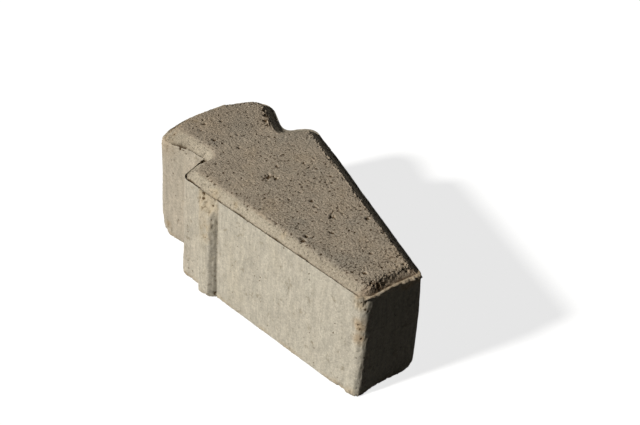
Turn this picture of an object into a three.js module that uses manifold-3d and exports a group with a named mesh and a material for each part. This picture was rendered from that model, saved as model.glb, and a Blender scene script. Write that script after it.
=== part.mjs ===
// Concrete paving stone: one pressed block with a wedge-shaped body, a V-notch on each
// side, a flared head with a convex crown, a hollow narrow end, a chamfered walking face
// behind a thin raised rim, and one spacer rib on each long side.
// Millimetres. X across, Y along (narrow end at -Y, crown at +Y), Z up.
import * as THREE from 'three';
import { mergeVertices } from 'three/addons/utils/BufferGeometryUtils.js';
import Module from 'manifold-3d';

// ---- driving dimensions -----------------------------------------------------------
// The plan is given at the foot of the chamfer; the walls stand outside it.
const THICKNESS = 80;            // bed to walking face
const RIM_Z = 74.8;              // height where the wall ends and the chamfer starts
const NARROW_HALF = 19.4;        // half width at the narrow end
const SHOULDER_Y = 145.3;        // shoulder point, from the narrow end
const SHOULDER_HALF = 47.7;
const NOTCH_Y = 153.9;           // bottom of the V-notch
const NOTCH_HALF = 27.2;
const HEAD_Y = 188.7;            // corner between head flank and crown
const HEAD_HALF = 40.8;
const CROWN_RISE = 8.6;          // crown height above the head corners
const END_HOLLOW = 1.7;          // depth of the hollow in the narrow end
const END_SKEW_DEG = 3.3;        // the narrow end sits slightly out of square

// vertical corner radii of the walls, at the rim
const WALL_END_RADIUS = 2.2;
const WALL_SHOULDER_RADIUS = 8.6;
const WALL_NOTCH_RADIUS = 3;
const WALL_HEAD_RADIUS = 12.5;
// corner radii of the pressed top, at the foot of the chamfer
const TOP_END_RADIUS = 1.5;
const TOP_SHOULDER_RADIUS = 6;
const TOP_NOTCH_RADIUS = 4;
const TOP_HEAD_RADIUS = 12;
const MIN_RADIUS = 0.5;          // smallest radius left where a corner closes up

const RIM_WIDTH = 1.5;           // wall top edge to chamfer foot
const BURR_HEIGHT = 0.4;         // fin left standing along the wall's top edge
const BURR_WIDTH = 0.5;
const TOP_SHIFT_X = -0.65;       // the pressed top sits slightly off the walls' centre
const TOP_SHIFT_Y = -0.2;
const DRAFT = 1.9;               // the bed is this much wider than the rim, each side
const ARRIS = 0.8;               // radius of the worn lower edge
const CHAMFER_RUN = 4.5;         // chamfer width in plan
const CHAMFER_ROUND = 2;         // rounding between chamfer and walking face, each way

const RIB_AT = 123.4;            // spacer rib, measured along the side from the narrow end
const RIB_WIDTH = 16;
const RIB_DEPTH = 4.6;
const RIB_FULL_Z = 56;           // full section up to here
const RIB_TOP_Z = 73;            // runs out into the wall here
const RIB_ROOT = 6;              // how far the rib reaches into the block
const RIB_TUCK = 0.2;            // its run-out ends this far behind the wall

// facets
const CORNER_FACETS = 9;
const CROWN_FACETS = 28;
const END_FACETS = 12;
const SIDE_PARTS = 6;            // cuts along each straight wall
const WALL_PARTS = 3;            // cuts up each wall
const ARRIS_FACETS = 2;
const BURR_FACETS = 3;
const ROUND_FACETS = 4;
const RIB_FACETS = 16;
const RUN_OUT_FACETS = 4;

// ---- plan outline -----------------------------------------------------------------
// The outline is a chain of arcs joined by straight runs. It is worked out afresh for
// every level: 'grow' moves each run and arc outward, and a corner radius that would
// vanish is held at MIN_RADIUS, so all levels have the same number of points.
// The walls and the pressed top share the runs but have corner radii of their own.
const WALLS = {
  at: RIM_WIDTH,
  end: WALL_END_RADIUS,
  shoulder: WALL_SHOULDER_RADIUS,
  notch: WALL_NOTCH_RADIUS,
  head: WALL_HEAD_RADIUS,
  shift: new THREE.Vector2(0, 0),
};
const PRESSED_TOP = {
  at: 0,
  end: TOP_END_RADIUS,
  shoulder: TOP_SHOULDER_RADIUS,
  notch: TOP_NOTCH_RADIUS,
  head: TOP_HEAD_RADIUS,
  shift: new THREE.Vector2(TOP_SHIFT_X, TOP_SHIFT_Y),
};

const vec = (x, y) => new THREE.Vector2(x, y);

function lineNormal(a, b) {
  // outward normal of a run travelled counter-clockwise
  const d = b.clone().sub(a).normalize();
  return vec(d.y, -d.x);
}

function meetLines(p, n1, q, n2) {
  // point at signed distances p and q from the origin along normals n1 and n2
  const det = n1.x * n2.y - n1.y * n2.x;
  return vec((p * n2.y - q * n1.y) / det, (q * n1.x - p * n2.x) / det);
}

function meetLineCircle(n, distance, hub, reach) {
  // point on the line n.p = distance at the given reach from hub, on its far (+Y) side
  const along = vec(-n.y, n.x);
  const gap = distance - n.dot(hub);
  const run = Math.sqrt(Math.max(reach ** 2 - gap ** 2, 0));
  const foot = hub.clone().add(n.clone().multiplyScalar(gap));
  return foot.add(along.multiplyScalar(run * (Math.sign(along.y) || 1)));
}

function makeArc(centre, radius, from, to, facets, runAfter) {
  const start = Math.atan2(from.y, from.x);
  let sweep = Math.atan2(to.y, to.x) - start;
  while (sweep > Math.PI) {
    sweep -= 2 * Math.PI;
  }
  while (sweep < -Math.PI) {
    sweep += 2 * Math.PI;
  }
  return { centre, radius, start, sweep, facets, runAfter };
}

function convexCorner(a, b, c, radius, grow) {
  const n1 = lineNormal(a, b);
  const n2 = lineNormal(b, c);
  const r = Math.max(radius, MIN_RADIUS);
  const centre = meetLines(n1.dot(b) + grow - r, n1, n2.dot(b) + grow - r, n2);
  return makeArc(centre, r, n1, n2, CORNER_FACETS, true);
}

function hollowCorner(a, b, c, radius, grow) {
  const n1 = lineNormal(a, b);
  const n2 = lineNormal(b, c);
  const r = Math.max(radius, MIN_RADIUS);
  const centre = meetLines(n1.dot(b) + grow + r, n1, n2.dot(b) + grow + r, n2);
  return makeArc(centre, r, n1.clone().negate(), n2.clone().negate(), CORNER_FACETS, true);
}

function planArcs(grow, set) {
  const out = grow - set.at;
  const crownR = (HEAD_HALF ** 2 + CROWN_RISE ** 2) / (2 * CROWN_RISE);
  const crownHub = vec(0, HEAD_Y + CROWN_RISE - crownR);
  const endR = (NARROW_HALF ** 2 + END_HOLLOW ** 2) / (2 * END_HOLLOW);
  const skew = THREE.MathUtils.degToRad(END_SKEW_DEG);
  const endHub = vec(Math.sin(skew), -Math.cos(skew)).multiplyScalar(endR - END_HOLLOW);

  const corners = (s) => ({
    narrow: vec(s * NARROW_HALF, 0),
    shoulder: vec(s * SHOULDER_HALF, SHOULDER_Y),
    notch: vec(s * NOTCH_HALF, NOTCH_Y),
    head: vec(s * HEAD_HALF, HEAD_Y),
  });
  const r = corners(1);
  const l = corners(-1);

  // narrow-end corner: rounds the side run into the hollow of the end
  const endCorner = (n, narrow) => {
    const radius = Math.max(set.end + out, MIN_RADIUS);
    const centre = meetLineCircle(n, n.dot(narrow) + grow - radius, endHub, endR - grow + radius);
    return { centre, radius, n, toEnd: endHub.clone().sub(centre).normalize() };
  };
  // head corner: rounds the flank into the crown
  const headCorner = (n, head) => {
    const radius = Math.max(set.head + out, MIN_RADIUS);
    const centre = meetLineCircle(n, n.dot(head) + grow - radius, crownHub, crownR + grow - radius);
    return { centre, radius, n, toCrown: centre.clone().sub(crownHub).normalize() };
  };
  const er = endCorner(lineNormal(r.narrow, r.shoulder), r.narrow);
  const el = endCorner(lineNormal(l.shoulder, l.narrow), l.narrow);
  const hr = headCorner(lineNormal(r.notch, r.head), r.head);
  const hl = headCorner(lineNormal(l.head, l.notch), l.head);

  return [
    makeArc(er.centre, er.radius, er.toEnd, er.n, CORNER_FACETS, true),
    convexCorner(r.narrow, r.shoulder, r.notch, set.shoulder + out, grow),
    hollowCorner(r.shoulder, r.notch, r.head, set.notch - out, grow),
    makeArc(hr.centre, hr.radius, hr.n, hr.toCrown, CORNER_FACETS, false),
    makeArc(crownHub, crownR + grow, hr.toCrown, hl.toCrown, CROWN_FACETS, false),
    makeArc(hl.centre, hl.radius, hl.toCrown, hl.n, CORNER_FACETS, true),
    hollowCorner(l.head, l.notch, l.shoulder, set.notch - out, grow),
    convexCorner(l.notch, l.shoulder, l.narrow, set.shoulder + out, grow),
    makeArc(el.centre, el.radius, el.n, el.toEnd, CORNER_FACETS, false),
    makeArc(endHub, endR - grow, el.toEnd.clone().negate(), er.toEnd.clone().negate(), END_FACETS, false),
  ];
}

function arcPoints({ centre, radius, start, sweep, facets }) {
  const points = [];
  for (let i = 0; i <= facets; i += 1) {
    const a = start + (sweep * i) / facets;
    points.push(vec(centre.x + radius * Math.cos(a), centre.y + radius * Math.sin(a)));
  }
  return points;
}

function outline(grow, set) {
  // closed ring, always with the same number of points
  const arcs = planArcs(grow, set);
  const chains = arcs.map(arcPoints);
  const ring = [];
  chains.forEach((chain, k) => {
    ring.push(...chain);
    if (!arcs[k].runAfter) {
      ring.pop();
      return;
    }
    const from = chain[chain.length - 1];
    const to = chains[(k + 1) % chains.length][0];
    for (let i = 1; i < SIDE_PARTS; i += 1) {
      ring.push(from.clone().lerp(to, i / SIDE_PARTS));
    }
  });
  return ring.map((p) => p.add(set.shift));
}

// ---- solids -----------------------------------------------------------------------
function loftBlock(levels) {
  // stacked rings of equal length, closed top and bottom
  const size = levels[0].ring.length;
  const positions = [];
  const index = [];
  levels.forEach(({ ring, z }) => ring.forEach((p) => positions.push(p.x, p.y, z)));
  for (let k = 0; k < levels.length - 1; k += 1) {
    for (let i = 0; i < size; i += 1) {
      const j = (i + 1) % size;
      const a = k * size + i;
      const b = k * size + j;
      index.push(a, b, b + size);
      index.push(a, b + size, a + size);
    }
  }
  const cap = (level, up) => {
    const faces = THREE.ShapeUtils.triangulateShape(levels[level].ring, []);
    faces.forEach(([a, b, c]) => {
      const tri = up ? [a, b, c] : [c, b, a];
      index.push(...tri.map((v) => v + level * size));
    });
  };
  cap(0, false);
  cap(levels.length - 1, true);
  const geometry = new THREE.BufferGeometry();
  geometry.setAttribute('position', new THREE.Float32BufferAttribute(positions, 3));
  geometry.setIndex(index);
  return geometry;
}

function wallGrow(z) {
  // the walls lean out towards the bed by the draft
  return RIM_WIDTH + DRAFT * (1 - z / RIM_Z);
}

function blockLevels() {
  // bed, walls and burr follow the walls' outline, chamfer and face the pressed one
  const levels = [];
  const add = (set, z, grow) => levels.push({ z, ring: outline(grow, set) });
  for (let i = 0; i <= ARRIS_FACETS; i += 1) {
    const a = (Math.PI / 2) * (i / ARRIS_FACETS);
    const z = ARRIS * (1 - Math.cos(a));
    add(WALLS, z, wallGrow(z) - ARRIS * (1 - Math.sin(a)));
  }
  for (let i = 1; i < WALL_PARTS; i += 1) {
    const z = (RIM_Z * i) / WALL_PARTS;
    add(WALLS, z, wallGrow(z));
  }
  for (let i = 0; i <= BURR_FACETS; i += 1) {
    const a = Math.PI * (i / BURR_FACETS);
    const inset = (BURR_WIDTH * (1 - Math.cos(a))) / 2;
    add(WALLS, RIM_Z + BURR_HEIGHT * Math.sin(a), RIM_WIDTH - inset);
  }
  add(PRESSED_TOP, RIM_Z, 0);
  // the rounding is a curve from the chamfer, around its upper edge, into the face
  const slope = vec(-CHAMFER_RUN, THICKNESS - RIM_Z);
  const edge = vec(-CHAMFER_RUN, THICKNESS);
  const reach = Math.min(CHAMFER_ROUND, slope.length() / 2);
  const round = new THREE.QuadraticBezierCurve(
    edge.clone().addScaledVector(slope.normalize(), -reach),
    edge,
    edge.clone().add(vec(-reach, 0)),
  );
  round.getPoints(ROUND_FACETS).forEach((p) => add(PRESSED_TOP, p.y, p.x));
  return levels;
}

function ribPoints(s) {
  // half-round spacer rib: sections from the bed up to where it runs out into the wall
  const narrow = vec(s * NARROW_HALF, 0);
  const shoulder = vec(s * SHOULDER_HALF, SHOULDER_Y);
  const along = shoulder.clone().sub(narrow).normalize();
  const out = vec(along.y * s, -along.x * s);
  const half = RIB_WIDTH / 2;
  const radius = (half ** 2 + RIB_DEPTH ** 2) / (2 * RIB_DEPTH);
  const reach = Math.asin(half / radius);
  const points = [];
  const place = (run, depth, z) => {
    const p = narrow.clone().addScaledVector(along, RIB_AT + run).addScaledVector(out, depth);
    points.push([p.x, p.y, z]);
  };
  const section = (z, sink) => {
    const wall = wallGrow(z);
    for (let i = 0; i <= RIB_FACETS; i += 1) {
      const a = reach * ((2 * i) / RIB_FACETS - 1);
      const depth = RIB_DEPTH - radius * (1 - Math.cos(a));
      place(radius * Math.sin(a), wall + depth - sink, z);
    }
    place(-half, wall - RIB_ROOT, z);
    place(half, wall - RIB_ROOT, z);
  };
  section(0, ARRIS);
  section(ARRIS, 0);
  for (let i = 0; i <= RUN_OUT_FACETS; i += 1) {
    const t = i / RUN_OUT_FACETS;
    const sink = (RIB_DEPTH + RIB_TUCK) * (1 - Math.cos((t * Math.PI) / 2));
    section(RIB_FULL_Z + (RIB_TOP_Z - RIB_FULL_Z) * t, sink);
  }
  return points;
}

const wasm = await Module();
wasm.setup();

function toManifold(geometry) {
  const plain = geometry.clone();
  plain.deleteAttribute('normal');
  plain.deleteAttribute('uv');
  const merged = mergeVertices(plain, 1e-4);
  const mesh = new wasm.Mesh({
    numProp: 3,
    vertProperties: new Float32Array(merged.attributes.position.array),
    triVerts: new Uint32Array(merged.index.array),
  });
  mesh.merge();
  return new wasm.Manifold(mesh);
}

function toGeometry(solid) {
  const mesh = solid.getMesh();
  const geometry = new THREE.BufferGeometry();
  geometry.setAttribute('position', new THREE.Float32BufferAttribute(mesh.vertProperties, 3));
  geometry.setIndex(Array.from(mesh.triVerts));
  geometry.computeVertexNormals();
  return geometry;
}

const block = toManifold(loftBlock(blockLevels()));
const ribs = [-1, 1].map((s) => wasm.Manifold.hull(ribPoints(s)));
const stone = wasm.Manifold.union([block, ...ribs]);
const box = stone.boundingBox();
const centreX = (box.min[0] + box.max[0]) / 2;
const centreY = (box.min[1] + box.max[1]) / 2;
const placed = stone.translate([-centreX, -centreY, 0]);

const concrete = new THREE.MeshStandardMaterial({ color: 0x9c9382, roughness: 0.93, metalness: 0 });
concrete.name = 'concrete';

const pavingStone = new THREE.Mesh(toGeometry(placed), concrete);
pavingStone.name = 'paving_stone';

const part = new THREE.Group();
part.name = 'concrete_paving_stone';
part.add(pavingStone);

export default part;
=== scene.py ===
# %% [markdown]
# # A pressed concrete paving stone
# One block of semi-dry concrete, rammed into a steel mould by a shaped press plate. The
# plate leaves the walking face and the chamfer round it, the mould leaves the walls with
# their vertical drag marks, and the gap between plate and mould leaves a thin fin.
# This lesson builds that block as one closed mesh, presses the sand and the voids into
# it with Geometry Nodes, and finishes it with three procedural concretes.

# %% Load the frame
import math

import bpy
import numpy as np
from mathutils import Matrix, Vector
from mathutils.geometry import delaunay_2d_cdt


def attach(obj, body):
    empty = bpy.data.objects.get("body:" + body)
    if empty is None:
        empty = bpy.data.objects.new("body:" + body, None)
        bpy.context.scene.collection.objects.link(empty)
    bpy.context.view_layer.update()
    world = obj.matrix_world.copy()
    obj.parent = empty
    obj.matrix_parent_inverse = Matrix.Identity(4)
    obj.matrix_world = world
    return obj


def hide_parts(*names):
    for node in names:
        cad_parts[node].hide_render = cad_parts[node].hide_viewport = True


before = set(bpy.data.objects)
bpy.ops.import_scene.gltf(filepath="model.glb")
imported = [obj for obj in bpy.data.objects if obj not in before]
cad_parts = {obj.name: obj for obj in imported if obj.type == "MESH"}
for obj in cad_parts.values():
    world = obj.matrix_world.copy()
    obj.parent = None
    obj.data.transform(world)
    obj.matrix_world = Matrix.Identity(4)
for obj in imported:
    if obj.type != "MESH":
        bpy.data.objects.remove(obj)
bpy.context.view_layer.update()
MM = 0.001

# %% [markdown]
# ## Camera
# The stone stands on its bed and is seen from above its narrow end, turned so that one
# long wall shows. A long lens keeps the walls nearly parallel. The camera could be aimed
# with a constraint, but three angles and a place are easier to read and to change.

# %% Camera
CAMERA_PLACE = Vector((-371.6, -514.3, 569.6)) * MM
CAMERA_TURN = math.radians(-37.4)      # round the vertical, from looking along +Y
CAMERA_TILT = math.radians(38.7)       # looking down by this much
CAMERA_ROLL = math.radians(4.0)
CAMERA_LENS = 75.0                     # in millimetres, like the sensor
SENSOR_WIDTH = 36.0


def camera_matrix(place, turn, tilt, roll):
    """World matrix of a camera that looks along +Y at zero angles."""
    back = Vector((
        math.sin(turn) * math.cos(tilt),
        -math.cos(turn) * math.cos(tilt),
        math.sin(tilt),
    ))
    right = Vector((0, 0, 1)).cross(back).normalized()
    up = back.cross(right)
    x_axis = right * math.cos(roll) + up * math.sin(roll)
    y_axis = up * math.cos(roll) - right * math.sin(roll)
    axes = Matrix((x_axis, y_axis, back)).transposed()
    return Matrix.Translation(place) @ axes.to_4x4()


camera_data = bpy.data.cameras.new("camera")
camera_data.lens = CAMERA_LENS
camera_data.sensor_width = SENSOR_WIDTH
camera_data.clip_start = 0.01
camera_data.clip_end = 20.0
camera = bpy.data.objects.new("camera", camera_data)
camera.matrix_world = camera_matrix(CAMERA_PLACE, CAMERA_TURN, CAMERA_TILT, CAMERA_ROLL)
bpy.context.scene.collection.objects.link(camera)
bpy.context.scene.camera = camera
print("camera at", tuple(round(v, 3) for v in camera.location))

# %% [markdown]
# ## The plan
# Seen from above the stone is a chain of arcs joined by straight runs: a hollow narrow
# end, two long sides, a V-notch on each side and a flared head with a convex crown. The
# mould and the press plate never line up quite, so the mould, the foot of the chamfer and
# the edge of the walking face each have a plan of their own. They could be drawn curves,
# but a formula lets every level repeat its outline a little larger or smaller.

# %% Sizes of the block, in millimetres
THICKNESS = 80.0
RIM_Z = 74.8                           # height of the rim, at the chamfer's foot
RIM_WIDTH = 1.5                        # from the chamfer's foot out to the wall
DRAFT = 1.9                            # the wall stands this much further out at the bed
ARRIS = 0.8                            # radius of the edge round the bed
EDGE_INSET = 4.5                       # from the chamfer's foot to its upper edge
ROUND_REACH = 3.0                      # run of the rounding to each side of that edge
END_HOLLOW = 1.7                       # the narrow end is hollow by this
END_SKEW = math.radians(3.3)           # and out of square by this
MIN_RADIUS = 0.5
RIB_AT = 123.4                         # middle of a spacer rib, from the narrow corner
RIB_WIDTH = 16.0
RIB_DEPTH = 4.6
print("from the rim to the face:", round(THICKNESS - RIM_Z, 1), "mm")

# %% The three plans
# Corners run from the narrow end: narrow, shoulder, notch, head. The radii follow the
# same order and hold at the level "at", counted outward from the corners' own outline.
MOULD = {
    "right": [(20.4, 0.0), (49.2, 147.2), (29.4, 154.9), (41.3, 187.8)],
    "left": [(-19.35, 0.0), (-47.65, 145.4), (-26.2, 154.6), (-39.8, 187.6)],
    "right_radii": (2.2, 8.0, 7.5, 15.0),
    "left_radii": (6.3, 6.2, 1.2, 6.5),
    "crown": 9.9,
    "at": RIM_WIDTH,
}
FOOT = {
    "right": [(19.4, -0.2), (47.6, 146.1), (28.7, 155.1), (39.9, 187.7)],
    "left": [(-20.2, -0.3), (-47.6, 145.0), (-27.6, 156.8), (-39.2, 187.4)],
    "right_radii": (1.5, 5.0, 4.0, 13.5),
    "left_radii": (7.5, 1.4, 0.8, 5.5),
    "crown": 9.9,
    "at": 0.0,
}
EDGE = {
    "right": [(19.5, -0.8), (46.3, 143.8), (25.9, 151.9), (38.2, 188.0)],
    "left": [(-19.8, -2.0), (-47.2, 145.3), (-26.0, 153.0), (-32.8, 190.0)],
    "right_radii": (3.0, 4.5, 7.3, 9.0),
    "left_radii": (6.5, 4.0, 10.0, 5.0),
    "crown": 9.0,
    "at": -EDGE_INSET,
}
FLAT = dict(EDGE, at=-EDGE_INSET - ROUND_REACH, right_radii=(3.0, 6.0, 9.5, 9.0),
            left_radii=(6.5, 6.0, 12.0, 5.0))
# how much each corner's radius gains with every millimetre that a plan grows
RIGHT_GAIN = (1, 2, -1, 1)
LEFT_GAIN = (-0.6, 2, -1, 1)
for name, plan in (("mould", MOULD), ("foot", FOOT), ("edge", EDGE)):
    print(name, "corners:", plan["right"], plan["left"])


# %% Helpers for lines and arcs
def unit(v):
    return v / np.linalg.norm(v)


def outward(a, b):
    """Outward normal of a straight run travelled counter-clockwise."""
    d = unit(b - a)
    return np.array([d[1], -d[0]])


def meet_lines(p, n1, q, n2):
    """Point that lies p along the direction n1 and q along n2."""
    return np.linalg.solve(np.array([n1, n2]), np.array([p, q]))


def meet_line_circle(n, distance, hub, reach):
    """Upper meeting point of the line that lies a distance along n with a circle."""
    along = np.array([-n[1], n[0]])
    gap = distance - n @ hub
    run = math.sqrt(max(reach ** 2 - gap ** 2, 0.0))
    return hub + n * gap + along * run * (1.0 if along[1] >= 0 else -1.0)


def arc(centre, radius, start, end, run_after):
    """Centre, radius, start angle, sweep, and whether a straight run follows."""
    first = math.atan2(start[1], start[0])
    sweep = (math.atan2(end[1], end[0]) - first + math.pi) % (2 * math.pi) - math.pi
    return centre, radius, first, sweep, run_after


def corner(a, b, c, radius, grow, side):
    """Corner between two runs; side is 1 where it is convex and -1 where it is hollow."""
    n1 = outward(a, b)
    n2 = outward(b, c)
    centre = meet_lines(n1 @ b + grow - side * radius, n1, n2 @ b + grow - side * radius, n2)
    return arc(centre, radius, n1 * side, n2 * side, True)


print("outward of a run along +X:", outward(np.array([0.0, 0.0]), np.array([1.0, 0.0])))


# %% The arcs of a plan at any level
def hub_of(a, b, rise, turn):
    """Centre and radius of an arc that rises above two corners' chord, turned a little."""
    half = np.linalg.norm(b - a) / 2
    radius = (half ** 2 + rise ** 2) / (2 * rise)
    up = np.array([(b - a)[1], -(b - a)[0]]) / (2 * half)
    up = np.array([
        up[0] * math.cos(turn) - up[1] * math.sin(turn),
        up[0] * math.sin(turn) + up[1] * math.cos(turn),
    ])
    return (a + b) / 2 + up * (rise - radius), radius


def plan_arcs(plan, grow):
    """The ten arcs of the outline, counter-clockwise from the right narrow corner."""
    nr, sr, vr, hr = np.array(plan["right"])
    nl, sl, vl, hl = np.array(plan["left"])
    out = grow - plan["at"]
    r_right = np.maximum(plan["right_radii"] + np.array(RIGHT_GAIN) * out, MIN_RADIUS)
    r_left = np.maximum(plan["left_radii"] + np.array(LEFT_GAIN) * out, MIN_RADIUS)
    crown_hub, crown_r = hub_of(hr, hl, plan["crown"], 0.0)
    end_hub, end_r = hub_of(nr, nl, END_HOLLOW, END_SKEW)

    def end_corner(n, point, r):
        centre = meet_line_circle(n, n @ point + grow - r, end_hub, end_r - grow + r)
        return centre, unit(end_hub - centre)

    def head_corner(n, point, r):
        centre = meet_line_circle(n, n @ point + grow - r, crown_hub, crown_r + grow - r)
        return centre, unit(centre - crown_hub)

    side_r = outward(nr, sr)
    side_l = outward(sl, nl)
    flank_r = outward(vr, hr)
    flank_l = outward(hl, vl)
    er, er_out = end_corner(side_r, nr, r_right[0])
    el, el_out = end_corner(side_l, nl, r_left[0])
    kr, kr_out = head_corner(flank_r, hr, r_right[3])
    kl, kl_out = head_corner(flank_l, hl, r_left[3])
    return [
        arc(er, r_right[0], er_out, side_r, True),
        corner(nr, sr, vr, r_right[1], grow, 1),
        corner(sr, vr, hr, r_right[2], grow, -1),
        arc(kr, r_right[3], flank_r, kr_out, False),
        arc(crown_hub, crown_r + grow, kr_out, kl_out, False),
        arc(kl, r_left[3], kl_out, flank_l, True),
        corner(hl, vl, sl, r_left[2], grow, -1),
        corner(vl, sl, nl, r_left[1], grow, 1),
        arc(el, r_left[0], side_l, el_out, False),
        arc(end_hub, end_r - grow, -el_out, -er_out, False),
    ]


mould_arcs = plan_arcs(MOULD, RIM_WIDTH)
print("arcs of the mould's plan:", len(mould_arcs))


# %% Points on an outline
def arc_points(an_arc, facets):
    """Points on an arc, both ends included."""
    centre, radius, first, sweep, _ = an_arc
    a = first + sweep * np.arange(facets + 1) / facets
    return centre + radius * np.column_stack([np.cos(a), np.sin(a)])


def ring(plan, grow, facets, cuts):
    """Closed outline with set points on every arc and every straight run."""
    arcs = plan_arcs(plan, grow)
    chains = [arc_points(a, n) for a, n in zip(arcs, facets)]
    points = []
    for k, chain in enumerate(chains):
        if not arcs[k][4]:
            points.append(chain[:-1])
            continue
        after = chains[(k + 1) % len(chains)][0]
        t = cuts[k][:, None]
        points.append(chain)
        points.append(chain[-1] * (1 - t) + after * t)
    return np.vstack(points)


def even_cuts(length, step):
    """Shares of a run at which it is cut into even steps."""
    count = max(1, round(length / step))
    return np.arange(1, count) / count


CROWN_ARC = 4
print("crown in four facets:", arc_points(mould_arcs[CROWN_ARC], 4).round(1).tolist())

# %% Where the long sides are cut more closely
RIB_POINTS = 31                        # cuts across the rib
CREASE_CUTS = (-1.1, -0.7, -0.35)      # cuts beyond its foot, where the crease runs
LAST_CUT = 0.4                         # and beyond its other foot


def rib_cuts(start, end, step):
    """Cuts along a long side, closer on the rib and beside it."""
    half = RIB_WIDTH / 2
    across = np.linspace(-half, half, RIB_POINTS)
    beside = [cut - half for cut in CREASE_CUTS] + [half + LAST_CUT]
    on_rib = RIB_AT + np.sort(np.concatenate([across, beside]))
    before = start + even_cuts(on_rib[0] - start, step) * (on_rib[0] - start)
    after = on_rib[-1] + even_cuts(end - on_rib[-1], step) * (end - on_rib[-1])
    return (np.concatenate([before, on_rib, after]) - start) / (end - start)


print("cuts along a side of 150 mm:", len(rib_cuts(0.0, 150.0, 1.0)))

# %% Facets and cuts all round
NOTCH_ARCS = (2, 6)                    # numbers of the hollow arcs in a plan
LONG_SIDES = (("right", 0), ("left", 7))  # each starts where the arc of that number ends
NOTCH_RUN = 6.0                        # least run over which a notch's facets are spread


def ring_cuts(plan, step, ribs):
    """Facets on each arc and cuts on each run, for points about one step apart."""
    arcs = plan_arcs(plan, plan["at"])
    ends = [(arc_points(a, 1)[0], arc_points(a, 1)[-1]) for a in arcs]
    in_notch = max(4, round(NOTCH_RUN / step))
    facets = [max(in_notch if k in NOTCH_ARCS else 3, round(abs(a[3]) * a[1] / step))
              for k, a in enumerate(arcs)]
    cuts = []
    for k in range(len(arcs)):
        start = ends[k][1]
        end = ends[(k + 1) % len(arcs)][0]
        cuts.append(even_cuts(np.linalg.norm(end - start), step))
        for name, side_arc in LONG_SIDES:
            if ribs and k == side_arc:
                a, b = np.array(plan[name])[:2]
                d = unit(b - a)
                low, high = sorted([(start - a) @ d, (end - a) @ d])
                along = rib_cuts(low, high, step)
                cuts[k] = along if name == "right" else 1 - along[::-1]
    return facets, cuts


COLUMN_STEP = 0.74
wall_facets, wall_cuts = ring_cuts(MOULD, COLUMN_STEP, True)
print("points round the wall:", len(ring(MOULD, 0, wall_facets, wall_cuts)))

# %% [markdown]
# ## Levels
# A real stone comes out of the mould with a soft lower arris, nearly straight walls, a
# fin where the press plate met the mould, a narrow groove behind it, the chamfer, and a
# rounded edge into the walking face. Each of these is a few rings stacked in height.
# Lofting rings keeps the thin fin and the groove crisp, which a remesh would lose.


# %% Repeatable noise for wear
NOISE_CELLS = 64                       # after so many cells the noise repeats
NOISE_SHIFT = 1000.0                   # moves the seam of the repeats away from the stone


def lattice_noise(points, size, seed):
    """Smooth noise from -1 to 1 whose features are about one size wide."""
    lattice = np.random.default_rng(seed).uniform(-1, 1, (NOISE_CELLS,) * 3)
    q = np.asarray(points, float) / size + NOISE_SHIFT
    base = np.floor(q).astype(int)
    f = q - base
    f = f * f * (3 - 2 * f)
    total = np.zeros(len(q))
    for dx in (0, 1):
        for dy in (0, 1):
            for dz in (0, 1):
                weight = np.ones(len(q))
                for axis, d in enumerate((dx, dy, dz)):
                    weight *= f[:, axis] if d else 1 - f[:, axis]
                index = (base + (dx, dy, dz)) % NOISE_CELLS
                total += weight * lattice[index[:, 0], index[:, 1], index[:, 2]]
    return total


def flat_noise(points, size, seed):
    """The same noise for plan positions."""
    points = np.asarray(points, float)[:, :2]
    return lattice_noise(np.column_stack([points, np.zeros(len(points))]), size, seed)


def smooth_step(low, high, x):
    t = np.clip((np.asarray(x, float) - low) / (high - low), 0, 1)
    return t * t * (3 - 2 * t)


def bump_at(points, centre, reach):
    """1 at the centre, falling smoothly to 0 at the reach."""
    d = np.linalg.norm(points - np.asarray(centre, float), axis=1) / reach
    return smooth_step(1.0, 0.0, d)


print("noise at three places:", lattice_noise([(0, 0, 0), (5, 0, 0), (9, 0, 0)], 10, 1).round(2))

# %% Rings of the walls
WALL_STEP = 1.45
ARRIS_ROWS = 4
FIN_ROWS = 5
LAST_ROWS = (1.0, 0.4)                 # how far below the rim the wall's last rows lie
FIN_WIDTH = 0.5
FIN_HEIGHT = 0.45
GROOVE_GAP = 0.5                       # least room between the fin and the chamfer's foot
GROOVE_DEPTH = 0.4
GROOVE_WIDER = 1.9                     # how much wider the groove is where it is deep


def wall_grow(z):
    """How far the drafted wall stands outside the rim's outline at a height."""
    return RIM_WIDTH + DRAFT * (1 - z / RIM_Z)


def wall_ring(grow):
    return ring(MOULD, grow, wall_facets, wall_cuts)


PLAN_CENTRE = np.array([0.0, 98.187])  # middle of the plain solid's box in the plan

arris_levels = []
for part in range(ARRIS_ROWS):
    angle = math.pi / 2 * part / (ARRIS_ROWS - 1)
    level = ARRIS * (1 - math.cos(angle))
    arris_levels.append((level, wall_grow(level) - ARRIS * (1 - math.sin(angle))))
wall_end = RIM_Z - LAST_ROWS[0]
straight = np.linspace(ARRIS, wall_end, round((wall_end - ARRIS) / WALL_STEP) + 1)[1:]
wall_levels = [(z, wall_grow(z)) for z in (*straight, RIM_Z - LAST_ROWS[1])]
fin_levels = []
for part in range(FIN_ROWS):
    angle = math.pi * part / (FIN_ROWS - 1)
    fin_levels.append((angle, RIM_WIDTH - FIN_WIDTH * (1 - math.cos(angle)) / 2))

wall_rows = [(z, wall_ring(grow), 0.0) for z, grow in arris_levels + wall_levels]
wall_rows += [(RIM_Z, wall_ring(grow), math.sin(angle)) for angle, grow in fin_levels]
COLUMNS = len(wall_rows[0][1])
print("wall rows:", len(wall_rows), "columns:", COLUMNS)


# %% [markdown]
# ## Fin and groove
# Where the press plate met the mould, the concrete rose into a thin fin, with a fine
# groove between the fin and the chamfer. Handling has rubbed both away in places, and in
# others the groove has broken open. A displacement map could carry them, but a strength
# for each column of the rings keeps the two lines sharp from end to end.

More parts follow.
